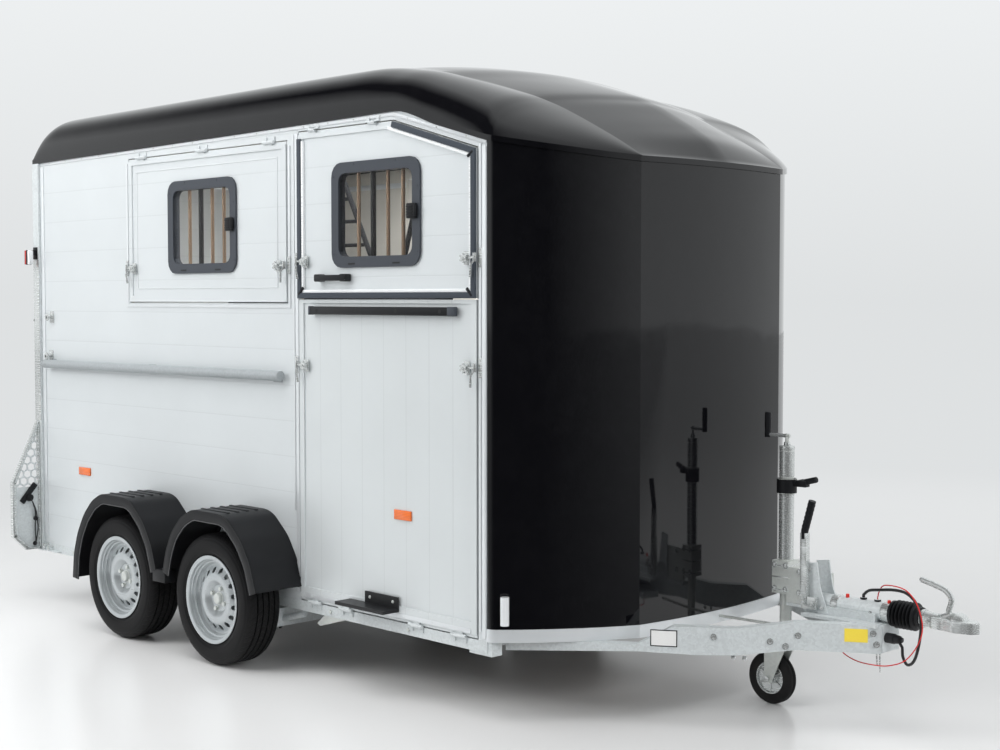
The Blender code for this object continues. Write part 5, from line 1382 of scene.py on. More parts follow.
        self.block(
            shape, (latch.plate_x - 0.0095, latch.plate_x + 0.0095), (latch.z - 0.036, latch.z + 0.04),
            (0.0046, 0.0066), 0.0008)
        for z in (-0.026, 0.03):
            spot = at(latch.plate_x, s * (WALL_Y + 0.0064), latch.z + z)
            add_rod(shape, spot, spot + out * 0.0024, 0.0042, 12, 0.0028)
        settle(f"{name}_plate", shape, "bright_zinc", "trailer", 35.0)

    def build(self) -> None:
        """Makes the side's trim."""
        self.build_profiles()
        self.build_flap()
        if self.side is Side.RIGHT:
            self.build_exit()
        self.build_reflectors()
        for index, latch in enumerate(self.latches()):
            self.build_latch(f"{self.side.word}_latch_{index}", latch)


@dataclass
class Guards:
    """The mudguards of one side: smooth arches with a rolled lip, a lighter black strip along the lip's inner edge as a
    painted highlight, and flat ribs.
    """

    side: Side
    hubs: tuple[float, ...] = tuple(AXLES_X.values())
    crown: tuple[Spot, ...] = (
        (-0.274, 0.276), (-0.196, 0.35), (-0.11, 0.391), (0.105, 0.391), (0.162, 0.374), (0.262, 0.292),
        (0.327, 0.195), (0.366, 0.08))
    rear_foot: tuple[Spot, ...] = ((-0.386, -0.047), (-0.374, 0.07), (-0.335, 0.18))
    joined_foot: tuple[Spot, ...] = ((-0.352, 0.08), (-0.322, 0.185))

    def path(self, hub: float, inset: float = 0.0) -> list[Spot]:
        """The arch's outline from its front foot over the wheel to its rear foot, its corners eased.

        Args:
            hub: the wheel's place along X.
            inset: how far inside the arch the line runs.

        Returns:
            Places along X and Z.
        """
        foot = self.rear_foot if hub == self.hubs[0] else self.joined_foot
        spots = [Vector(p) for p in reversed(foot + self.crown)]
        eased = [spots[0]]
        for before, here, after in zip(spots, spots[1:], spots[2:]):
            near = here + (before - here).normalized() * min(0.03, (before - here).length * 0.35)
            far = here + (after - here).normalized() * min(0.03, (after - here).length * 0.35)
            for step in range(5):
                t = step / 4
                eased.append(near * (1 - t) ** 2 + here * 2 * t * (1 - t) + far * t * t)
        eased.append(spots[-1])
        moved = []
        for index, spot in enumerate(eased):
            way = (eased[min(index + 1, len(eased) - 1)] - eased[max(index - 1, 0)]).normalized()
            moved.append(spot + Vector((-way.y, way.x)) * inset)
        return [(hub + p.x, WHEEL_RADIUS + p.y) for p in moved]

    def build(self) -> None:
        """Makes the side's mudguards with their ribs, and the lighter strips along the lips that paint a highlight."""
        word = self.side.word
        shape = bmesh.new()
        bead = bmesh.new()
        for hub in self.hubs:
            add_ribbon(shape, self.side, self.path(hub), 0.006, 0.0003, 0.25)
            add_ribbon(shape, self.side, self.path(hub), 0.044, 0.244, 0.2498, bevel=0.0025)
            # The strip along the lip's inner edge, in a lighter black: a painted highlight.
            add_ribbon(bead, self.side, self.path(hub, 0.0445), 0.004, 0.243, 0.2488)
            add_ribbon(shape, self.side, self.path(hub, 0.0062), 0.02, 0.0006, 0.006)
            for place in (0.05, 0.1, 0.15, 0.2):
                add_wall_block(
                    shape, self.side, (hub - 0.104, hub + 0.104), (WHEEL_RADIUS + 0.39, WHEEL_RADIUS + 0.3938),
                    (place - 0.007, place + 0.007), 0.0018)
        middle = sum(self.hubs) / 2
        add_wall_block(shape, self.side, (middle - 0.05, middle + 0.052), (0.322, 0.38), (0.19, 0.249), 0.003)
        piece = settle(f"{word}_guard_moulding", shape, "guard_black", "trailer", 24.0)
        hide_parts(f"{word}_mudguards")
        settle(f"{word}_guard_bead", bead, "lip_highlight_black", "trailer", 24.0)


@dataclass
class HitchGear:
    """The smooth coupling head, bellows, lever grip, caps, bolts and blank plates of the drawbar."""

    lever_y: float = -0.0573

    def build_head(self) -> None:
        """The coupling head: neck, pressed body, ball cup, bolts and curved handle."""
        z = DRAWBAR_Z
        shape = bmesh.new()
        add_rod(shape, at(4.7157, 0, z), at(4.786, 0, z), 0.0298, 40, 0.0262, 0.002)
        add_rod(shape, at(4.7155, 0, z), at(4.7285, 0, z), 0.0335, 40, 0.0335, 0.002)
        corners = [(4.756, 0.029), (4.815, 0.038), (4.88, 0.0415), (4.922, 0.0305), (4.942, 0.0)]
        spots = corners + [(x, -y) for x, y in reversed(corners[:-1])]
        rounded = []
        for index in range(len(spots)):
            before, here, after = (Vector(spots[(index + shift) % len(spots)]) for shift in (-1, 0, 1))
            near, far = here.lerp(before, 0.22), here.lerp(after, 0.22)
            rounded += [near * (1 - t) ** 2 + here * 2 * t * (1 - t) + far * t * t for t in (0.0, 0.33, 0.67, 1.0)]
        face = shape.faces.new([shape.verts.new(at(p.x, p.y, z - 0.0255)) for p in rounded])
        tops = [f for f in grow(shape, [face], Vector((0.0, 0.0, 0.041))) if len(f.verts) > 6]
        ease(shape, {e for f in tops for e in f.edges}, 0.007, 4, 0.6)
        dome = [(0.0, 0.04), (0.011, 0.0393), (0.02, 0.037), (0.027, 0.032), (0.033, 0.026), (0.038, 0.016),
                (0.0405, 0.006), (0.0415, -0.012), (0.0415, -0.0268), (0.03, -0.0268), (0.03, -0.012), (0.0, 0.002)]
        add_spun(shape, dome, at(4.857, 0, z), Axis.Z, 48, closed=False)
        for side in (-1, 1):
            for x, near, far, up, *size in (
                    (4.748, 0.029, 0.038, 0.0, 0.0085, 6, 0.0085, 0.0012),
                    (4.748, 0.027, 0.0305, 0.0, 0.0125, 20, 0.0118),
                    (4.818, 0.03, 0.0405, 0.006, 0.008, 20, 0.0068, 0.0012)):
                add_rod(shape, at(x, side * near, z + up), at(x, side * far, z + up), *size)
        add_rod(shape, at(4.8, 0, z + 0.012), at(4.833, 0, z + 0.03), 0.017, 20, 0.0125, 0.002)
        piece = settle("coupling_body", shape, "bright_zinc", "trailer", 32.0)
        handle = smooth_route([(4.818, 0, 0.472), (4.82, 0, 0.505), (4.83, 0, 0.545), (4.806, 0, 0.574),
                               (4.76, 0, 0.59), (4.711, 0, 0.602)], 6)
        cable("coupling_handle", handle, 0.0105, "bright_zinc")
        shape = bmesh.new()
        tip = at(4.7115, 0, 0.6019)
        add_spun(shape, [(0.0, 0.009), (0.006, 0.0075), (0.0104, 0.0), (0.0, 0.0)], tip, Axis.Z, 20, closed=False)
        bmesh.ops.rotate(shape, verts=shape.verts, cent=tip, matrix=Matrix.Rotation(math.radians(-76), 3, "Y"))
        settle("coupling_handle_end", shape, "bright_zinc")
        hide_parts("coupling_head")

    def build_bellows(self) -> None:
        """The rubber bellows with rounded folds and a cuff at each end."""
        start, end, low, high, folds = 4.597, 4.715, 0.0365, 0.0518, 6
        profile = [(0.01, start), (high - 0.004, start), (high - 0.004, start + 0.01), (low, start + 0.0125)]
        pitch = (end - start - 0.028) / folds
        for fold in range(folds):
            base = start + 0.0125 + fold * pitch
            profile += [(low + (high - low) * (0.5 - 0.5 * math.cos(2 * math.pi * t)) ** 0.7, base + pitch * t)
                        for t in (0.15, 0.3, 0.42, 0.5, 0.58, 0.7, 0.85, 1.0)]
        profile += [(0.0385, end - 0.014), (0.0385, end - 0.0004), (0.01, end - 0.0004)]
        shape = bmesh.new()
        add_spun(shape, profile, at(0.0, 0, DRAWBAR_Z), Axis.X, 48, closed=False)
        piece = settle("bellows_rubber", shape, "guard_black", "trailer", 50.0)
        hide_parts("bellows")

    def build_lever(self) -> None:
        """The brake lever: flat bright bar below, thick black grip above."""
        y = self.lever_y
        bar = bmesh.new()
        points = [(4.249, 0.455), (4.2475, 0.6), (4.247, 0.676), (4.2465, 0.726)]
        for (x0, z0), (x1, z1) in zip(points, points[1:]):
            low, high = at(min(x0, x1) - 0.0135, y - 0.0122, z0), at(max(x0, x1) + 0.0135, y + 0.0122, z1 + 0.002)
            add_block(bar, low, high, 0.001)
        add_block(bar, at(4.237, y - 0.0082, 0.439), at(4.3012, y + 0.0125, 0.4872), 0.003)
        for x in (4.25, 4.289):
            add_rod(bar, at(x, y - 0.0075, 0.463), at(x, y - 0.0165, 0.463), 0.0085, 6, bevel=0.001)
        settle("brake_lever_bar", bar, "bright_zinc", "trailer", 32.0)
        grip = [(4.2465, y, 0.705), (4.246, y, 0.735), (4.262, y, 0.79), (4.277, y, 0.845), (4.279, y, 0.852)]
        cable("brake_lever_grip", smooth_route(grip, 6), 0.0142, "guard_black")
        rings = bmesh.new()
        low, high = at(4.2505, y, 0.752), at(4.2745, y, 0.836)
        way = (high - low).normalized() * 0.003
        for share in range(6):
            spot = low.lerp(high, share / 5)
            add_rod(rings, spot - way, spot + way, 0.0152, 20, 0.0152, 0.001)
        settle("brake_lever_rings", rings, "guard_black", "trailer", 32.0)

    def build_housing(self) -> None:
        """Bolts, grease caps, glands and the rounded tube end of the overrun."""
        shape = bmesh.new()
        for x, z in ((4.262, 0.588), (4.262, 0.452), (4.318, 0.447)):
            for side in (-1, 1):
                add_rod(shape, at(x, side * 0.045, z), at(x, side * 0.0525, z), 0.0085, 6, bevel=0.001)
        for x, y in ((4.3, -0.03), (4.3, 0.03), (4.52, -0.03), (4.52, 0.03)):
            add_rod(shape, at(x, y, 0.4555), at(x, y, 0.464), 0.0085, 6, bevel=0.001)
        add_rod(shape, at(4.56, 0, DRAWBAR_Z), at(4.5962, 0, DRAWBAR_Z), 0.0385, 40, 0.0385, 0.003)
        add_rod(shape, at(4.346, 0, DRAWBAR_Z), at(4.376, 0, DRAWBAR_Z), 0.0385, 40, 0.0385, 0.003)
        settle("overrun_bolts", shape, "bright_zinc", "trailer", 32.0)
        rod_piece("grease_caps", "cap_red", [
            (at(x, -0.006, 0.494), at(x, -0.006, 0.509), 0.0072, 18, 0.0064, 0.0015) for x in (4.405, 4.582)])
        rod_piece("cable_glands", "guard_black", [
            (at(x, 0, 0.496), at(x, 0, 0.5036), 0.0125, 6, 0.0125, 0.0012) for x in (4.47, 4.53)])

    def build_plates(self) -> None:
        """The blank plates, bolts and pins on the drawbar's beams."""
        origin = at(4.585, -0.06, 0.0)
        turn = Matrix((BEAM_RUN, BEAM_FACE, Vector((0.0, 0.0, 1.0)))).transposed()
        place = Matrix.Translation(origin) @ turn.to_4x4()
        for name, finish, along, z, depth in (
                ("beam_plate_rim", "guard_black", (0.746, 0.848), (0.306, 0.37), (0.0002, 0.001)),
                ("beam_plate", "label_pale", (0.75, 0.844), (0.31, 0.366), (0.001, 0.0016)),
                ("beam_plate_yellow", "label_yellow", (0.049, 0.133), (0.358, 0.407), (0.0002, 0.0012))):
            shape, plate = bmesh.new(), bmesh.new()
            add_block(plate, *(Vector((along[end], depth[end], z[end])) for end in (0, 1)))
            merge(shape, plate, place)
            settle(name, shape, finish, "trailer", 32.0)
        bolts = bmesh.new()
        for along, z in ((0.018, 0.352), (0.03, 0.392), (0.3, 0.372), (0.345, 0.33), (0.402, 0.345), (0.61, 0.352),
                         (1.15, 0.348)):
            spot = origin + BEAM_RUN * along + Vector((0, 0, z))
            for side in (1, -1):
                add_bolt(
                    bolts, Vector((spot.x, side * spot.y, spot.z)), Vector((BEAM_FACE.x, side * BEAM_FACE.y, 0.0)),
                    (0.003, 0.0125, 0.0118), (0.01, 0.0082))
        for x, y in ((4.12, -0.33), (4.16, -0.315), (4.12, 0.33), (4.16, 0.315)):
            add_rod(bolts, at(x, y, 0.2802), at(x, y, 0.268), 0.0095, 6, bevel=0.001)
        settle("beam_bolts", bolts, "bright_zinc", "trailer", 32.0)
        rod_piece("safety_pins", "bright_zinc", [
            (at(x, -0.052, 0.32), at(x + 0.004, -0.054, 0.32 - drop), 0.0032, 12, 0.003, 0.001)
            for x, drop in ((4.56, 0.05), (4.573, 0.072))])

    def build(self) -> None:
        """Makes the hitch's pieces."""
        self.build_head()
        self.build_bellows()
        self.build_lever()
        self.build_housing()
        self.build_plates()


@dataclass
class JackGear:
    """The jack's smooth tube, collar, lever and crank, and its grooved wheel with ribbed disc."""

    x: float = 4.06
    y: float = 0.09
    top: float = 1.036
    wheel: float = 0.105

    def spot(self, dx: float, z: float, dy: float = 0.0) -> Vector:
        """A place beside the jack's axis."""
        return at(self.x + dx, self.y + dy, z)

    def sleeve(self, shape: Shape, low: float, high: float, radius: float) -> None:
        """Adds a hollow ring round the jack's axis, its outer rims eased."""
        rim = min(0.003, radius - 0.0275)
        ring = [(0.0252, low), (radius - rim, low), (radius, low + rim), (radius, high - rim), (radius - rim, high),
                (0.0252, high)]
        add_spun(shape, ring, self.spot(0.0, 0.0), Axis.Z, 48)

    def build_body(self) -> None:
        """The covers of the fixed tube: end rings, black collar with its lever, black grip, bolts."""
        shape = bmesh.new()
        add_rod(shape, self.spot(0, self.top - 0.018), self.spot(0, self.top + 0.0012), 0.0302, 40, 0.0302, 0.002)
        self.sleeve(shape, 0.915, self.top - 0.018, 0.0296)
        self.sleeve(shape, 0.588, 0.847, 0.0296)
        add_rod(shape, self.spot(0, self.top + 0.001), self.spot(0, self.top + 0.016), 0.014, 24, 0.012, 0.001)
        crank = [(4.064, self.y, 1.076), (4.055, self.y, 1.076), (4.03, self.y, 1.0762), (3.99, self.y, 1.0762),
                 (3.972, self.y, 1.0762), (3.966, self.y, 1.0762)]
        settle("jack_tube_cover", shape, "bright_zinc", "trailer", 32.0)
        cable("jack_crank_cover", smooth_route(crank, 4), 0.0074, "bright_zinc")
        shape = bmesh.new()
        self.sleeve(shape, 0.8494, 0.9086, 0.0396)
        add_rod(shape, self.spot(0.03, 0.8878), self.spot(0.08, 0.9), 0.0125, 20, 0.0118, 0.001)
        add_rod(shape, self.spot(0.06, 0.893), self.spot(0.1395, 0.914), 0.0122, 20, 0.0118, 0.003)
        add_block(shape, self.spot(0.052, 0.88, -0.016), self.spot(0.098, 0.906, 0.016), 0.004)
        settle("jack_collar_cover", shape, "guard_black", "trailer", 32.0)
        shape = bmesh.new()
        profile = [(0.0078, 0.0), (0.0126, 0.0004), (0.0132, 0.01), (0.0124, 0.026), (0.0134, 0.046), (0.0134, 0.08),
                   (0.0124, 0.099), (0.008, 0.1006), (0.0, 0.101)]
        add_spun(shape, profile, self.spot(-0.092, 1.0655), Axis.Z, 28, closed=False)
        settle("jack_grip_cover", shape, "guard_black", "trailer", 32.0)
        shape = bmesh.new()
        for dx, z in ((-0.026, 0.568), (0.026, 0.568), (-0.026, 0.474), (0.026, 0.474), (0.09, 0.552), (0.09, 0.47)):
            spot = self.spot(dx, z, -0.04)
            add_bolt(shape, spot, Vector((0, -1, 0)), (0.003, 0.012, 0.0112), (0.0085, 0.008))
        for z in (0.47, 0.52, 0.566):
            add_block(shape, self.spot(-0.0386, z - 0.003, -0.0406), self.spot(0.0386, z + 0.003, 0.0406), 0.001)
        settle("jack_bracket_bolts", shape, "bright_zinc", "trailer", 32.0)

    def build_wheel(self) -> None:
        """The jockey wheel: a solid grooved tyre on a ribbed zinc disc."""
        hub = at(self.x - 0.06, self.y, self.wheel)
        half = 0.0218
        front = [(0.1045, 0.0008), (0.1015, 0.002), (0.1015, 0.0052), (0.1045, 0.0065), (0.1045, 0.011),
                 (0.103, 0.015), (0.0985, 0.019), (0.092, half), (0.064, half)]
        tyre = [(radius, -place) for radius, place in reversed(front)] + front
        shape = bmesh.new()
        add_spun(shape, tyre, hub, Axis.Y, 64)
        piece = settle("jack_tyre", shape, "tyre_plain", "jack_wheel", 34.0)
        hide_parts("jack_wheel")
        shape = bmesh.new()
        front = [(0.0086, 0.0215), (0.0205, 0.0215), (0.024, 0.008), (0.057, 0.01), (0.06, 0.0205),
                 (0.0642, 0.0205)]
        disc = [(radius, -place) for radius, place in reversed(front)] + front
        add_spun(shape, disc, hub, Axis.Y, 48)
        for index in range(6):
            low, high = (hub + turned("Y", index, 6, Vector((0, 0, arm))) for arm in (0.021, 0.06))
            for side in (-1, 1):
                shift = Vector((0, side * 0.0095, 0))
                add_rod(shape, low + shift, high + shift, 0.0042, 10)
        settle("jack_wheel_disc", shape, "bright_zinc", "jack_wheel", 32.0)
        shape = bmesh.new()
        for side in (-1, 1):
            spot = hub + Vector((0, side * 0.0395, 0))
            add_rod(shape, spot, spot + Vector((0, side * 0.006, 0)), 0.012, 6, bevel=0.001)
        settle("jack_axle_nuts", shape, "bright_zinc", "jack_fork", 32.0)

    def build(self) -> None:
        """Makes the jack's pieces."""
        self.build_body()
        self.build_wheel()


def honeycomb(shape: Shape, side: Side, corners: Sequence[Spot], x: Spot, cell: float, web: float) -> None:
    """Adds a sheet of hexagonal cells inside a convex outline across the trailer.

    Args:
        shape: the bmesh.
        side: the side that it stands on.
        corners: the outline's places along Y and Z, for the left side.
        x: its back and front along X.
        cell: the distance between two cells' centres.
        web: the width of the web between two cells.
    """
    sheet = bmesh.new()
    low_y, high_y = min(c[0] for c in corners), max(c[0] for c in corners)
    low_z, high_z = min(c[1] for c in corners), max(c[1] for c in corners)
    reach, row = cell / math.sqrt(3), 0
    z = low_z - cell
    while z < high_z + cell:
        y = low_y - cell + (cell / 2 if row % 2 else 0.0)
        while y < high_y + cell:
            rims = []
            for size in (reach, reach - web / math.sqrt(3)):
                arms = [(size * math.sin(math.pi / 3 * k), size * math.cos(math.pi / 3 * k)) for k in range(6)]
                rims.append([sheet.verts.new(at(x[0], side.value * (y + dy), z + dz)) for dy, dz in arms])
            for k in range(6):
                after = (k + 1) % 6
                sheet.faces.new((rims[0][k], rims[0][after], rims[1][after], rims[1][k]))
            y += cell
        z += reach * 1.5
        row += 1
    middle = Vector((sum(c[0] for c in corners) / len(corners), sum(c[1] for c in corners) / len(corners)))
    for index, corner in enumerate(corners):
        a, b = Vector(corner), Vector(corners[(index + 1) % len(corners)])
        way = Vector((b.y - a.y, a.x - b.x)).normalized()
        way = -way if way.dot(middle - a) > 0 else way
        bmesh.ops.bisect_plane(
            sheet, geom=sheet.verts[:] + sheet.edges[:] + sheet.faces[:], dist=1e-6,
            plane_co=at(x[0], side.value * a.x, a.y), plane_no=(0.0, side.value * way.x, way.y), clear_outer=True)
    bmesh.ops.remove_doubles(sheet, verts=sheet.verts, dist=0.0002)
    grow(sheet, sheet.faces[:], Vector((x[1] - x[0], 0.0, 0.0)))
    merge(shape, sheet)


def add_sheet(shape: Shape, corners: Sequence[Vector], depth: Vector, bevel: float = 0.0) -> None:
    """Adds a flat plate from an outline, as thick as depth."""
    face = shape.faces.new([shape.verts.new(c) for c in corners])
    tops = [f for f in grow(shape, [face], depth) if len(f.verts) == len(corners)]
    ease(shape, {e for f in tops for e in f.edges}, bevel)


@dataclass
class RearGear:
    """The rear corner of one side: wing with mesh, lamps, wiring, post latches and guard tube."""

    side: Side
    inner: float = 0.9368
    outer: float = 1.0972

    def p(self, x: float, y: float, z: float) -> Vector:
        """A place whose y is measured outwards on this side."""
        return at(x, self.side.value * y, z)

    def block(self, shape: Shape, x: Spot, y: Spot, z: Spot, bevel: float = 0.001) -> None:
        """Adds a block on this side."""
        ys = sorted(self.side.value * v for v in y)
        add_block(shape, at(x[0], ys[0], z[0]), at(x[1], ys[1], z[1]), bevel)

    def blocks(self, name: str, finish: str, *rows: tuple) -> bpy.types.Object:
        """A piece made of blocks on this side, each given as block takes it."""
        shape = bmesh.new()
        for row in rows:
            self.block(shape, *row)
        return settle(f"{self.side.word}_{name}", shape, finish, "trailer", 30.0)

    def build_wing(self) -> None:
        """The wing: bright folded frame, honeycomb sheet above and closed panel below."""
        word = self.side.word
        i, o = self.inner, self.outer
        outline = [(i, 0.2755), (o - 0.075, 0.2755), (o, 0.35), (o, 0.64), (i + 0.012, 0.9595), (i, 0.9595)]
        shape = bmesh.new()
        panel = [(i + 0.004, 0.282), (o - 0.078, 0.282), (o - 0.005, 0.353), (o - 0.005, 0.612), (i + 0.004, 0.612)]
        add_sheet(shape, [self.p(-0.0325, y, z) for y, z in panel], Vector((0.004, 0.0, 0.0)))
        mesh = [(i + 0.004, 0.612), (o - 0.005, 0.612), (o - 0.005, 0.64), (i + 0.014, 0.945), (i + 0.004, 0.945)]
        honeycomb(shape, self.side, mesh, (-0.0322, -0.0289), 0.043, 0.0085)
        panel_piece = settle(f"{word}_wing_sheet", shape, "galvanised", "trailer", 30.0)
        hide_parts(f"{word}_wing")
        shape = bmesh.new()
        edges = outline[1:5]
        for (y0, z0), (y1, z1) in zip(edges, edges[1:]):
            wide = 0.0115
            a, b = Vector((y0, z0)), Vector((y1, z1))
            way = (b - a).normalized()
            into = Vector((-way.y, way.x))
            a, b = a - way * 0.002, b + way * 0.002
            corners = [a, b, b + into * 2 * wide, a + into * 2 * wide]
            corners = [Vector((min(max(c.x, i), o), max(c.y, 0.2755))) for c in corners]
            add_sheet(shape, [self.p(-0.0438, c.x, c.y) for c in corners], Vector((0.0262, 0.0, 0.0)), 0.003)
        bottom = [(i, 0.2755), (o - 0.074, 0.2755), (o - 0.074, 0.288), (i, 0.288)]
        add_sheet(shape, [self.p(-0.0438, y, z) for y, z in bottom], Vector((0.0262, 0.0, 0.0)), 0.002)
        inner_strip = [(i, 0.2755), (i + 0.01, 0.2755), (i + 0.01, 0.957), (i, 0.957)]
        add_sheet(shape, [self.p(-0.0438, y, z) for y, z in inner_strip], Vector((0.0262, 0.0, 0.0)), 0.002)
        settle(f"{word}_wing_frame", shape, "bright_zinc", "trailer", 30.0)

    def build_lamps(self) -> None:
        """The tail lamp's housing and lenses, its back cover with wiring, and the marker lamp."""
        word = self.side.word
        piece = self.blocks(
            "tail_lamp_base", "guard_black", ((-0.053, -0.0442), (0.9515, 1.0805), (0.4195, 0.6005), 0.004))
        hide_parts(f"{word}_tail_lamp")
        for tag, finish, z in (("red", "lamp_red", (0.513, 0.5965)), ("orange", "reflector_orange", (0.469, 0.511)),
                               ("clear", "lamp_clear", (0.4235, 0.467))):
            self.blocks(f"tail_lens_{tag}", finish, ((-0.064, -0.0532), (0.956, 1.0765), z, 0.005))
        shape = bmesh.new()
        turn = Matrix.Rotation(self.side.value * math.radians(-50), 4, "X")
        made = bmesh.new()
        add_block(made, Vector((-0.006, -0.062, -0.015)), Vector((0.006, 0.062, 0.015)), 0.003)
        merge(shape, made, Matrix.Translation(self.p(-0.0222, 1.004, 0.579)) @ turn)
        add_rod(shape, self.p(-0.0282, 1.0, 0.555), self.p(-0.008, 1.0, 0.555), 0.0215, 24, 0.0185, 0.003)
        add_rod(shape, self.p(-0.0282, 0.964, 0.44), self.p(-0.015, 0.964, 0.44), 0.013, 16, 0.011, 0.002)
        add_rod(shape, self.p(-0.0282, 0.97, 0.306), self.p(-0.014, 0.97, 0.306), 0.012, 16, 0.009, 0.002)
        settle(f"{word}_lamp_connector", shape, "guard_black", "trailer", 32.0)
        for tag, dy in (("near", 0.0), ("far", 0.01)):
            route = [(-0.01, 0.998, 0.549), (-0.01, 0.99, 0.535), (-0.011, 0.97 + dy / 2, 0.49),
                     (-0.012, 0.962 + dy, 0.44), (-0.012, 0.958 + dy * 1.6, 0.39), (-0.013, 0.966 + dy / 2, 0.33),
                     (-0.015, 0.97, 0.306)]
            points = [(x, self.side.value * y, z) for x, y, z in route]
            cable(f"{word}_lamp_lead_{tag}", smooth_route(points, 4), 0.0032, "cable_black")
        piece = self.blocks(
            "marker_clear", "lamp_clear", ((-0.03, -0.008), (0.964, 0.9888), (1.796, 1.8715), 0.004))
        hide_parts(f"{word}_side_lamp")
        self.blocks("marker_red", "lamp_red", ((-0.062, -0.04), (0.964, 0.9888), (1.796, 1.8715), 0.004))
        self.blocks(
            "marker_arm", "guard_black", ((-0.0402, -0.0298), (0.963, 0.9895), (1.795, 1.8725), 0.001),
            ((-0.05, -0.02), (0.9366, 0.965), (1.844, 1.873), 0.003),
            ((-0.056, -0.014), (0.9362, 0.94), (1.824, 1.888), 0.001))

    def build_post(self) -> None:
        """The post's bright edge, knobs, hinge bolt and the hooks at its foot."""
        word, s = self.side.word, self.side.value
        shape = bmesh.new()
        self.block(shape, (-0.0596, -0.001), (0.9362, 0.9378), (0.965, 1.82), 0.0004)
        for x, z in ((0.104, 1.518), (0.092, 1.312)):
            base = self.p(x, 0.9204, z)
            out = Vector((0.0, s, 0.0))
            add_rod(shape, base, base + out * 0.034, 0.0075, 18, 0.0065)
            add_rod(shape, base + out * 0.026, base + out * 0.034, 0.0205, 28, 0.0185, 0.002)
            add_rod(shape, base + Vector((-0.05, 0, 0)) + out * 0.012, base + out * 0.012, 0.0062, 14)
            self.block(shape, (x - 0.02, x + 0.02), (0.9204, 0.9236), (z - 0.03, z + 0.03), 0.001)
        add_rod(shape, self.p(-0.06, 0.928, 1.5), self.p(-0.067, 0.928, 1.5), 0.013, 20, 0.011, 0.002)
        for x, z in ((0.03, 0.302), (0.075, 0.296)):
            add_rod(shape, self.p(x, 0.9205, z), self.p(x, 0.952, z), 0.007, 14, 0.007, 0.001)
            add_rod(shape, self.p(x, 0.946, z + 0.0035), self.p(x, 0.946, z - 0.022), 0.006, 14, 0.0052, 0.001)
        settle(f"{word}_post_fittings", shape, "bright_zinc", "trailer", 32.0)
        shape = bmesh.new()
        self.block(shape, (-0.04, 0.17), (0.9206, 0.95), (0.272, 0.2755), 0.001)
        settle(f"{word}_corner_gusset", shape, "galvanised", "trailer", 32.0)

    def build_tube(self) -> None:
        """The guard tube with its closed ends and stubs."""
        word = self.side.word
        shape = bmesh.new()
        add_rod(shape, self.p(0.074, 0.952, 1.2722), self.p(2.15, 0.952, 1.28), 0.0222, 48, 0.0222, 0.003)
        for x in (0.112, 1.08, 2.09):
            add_rod(shape, self.p(x, 0.9203, 1.274), self.p(x, 0.94, 1.274), 0.012, 24)
            self.block(shape, (x - 0.032, x + 0.032), (0.9203, 0.9232), (1.25, 1.298), 0.001)
        piece = settle(f"{word}_tube", shape, "dull_zinc", "trailer", 40.0)
        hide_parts(f"{word}_guard_tube")

    def build(self) -> None:
        """Makes the corner's pieces."""
        self.build_wing()
        self.build_lamps()
        self.build_post()
        self.build_tube()


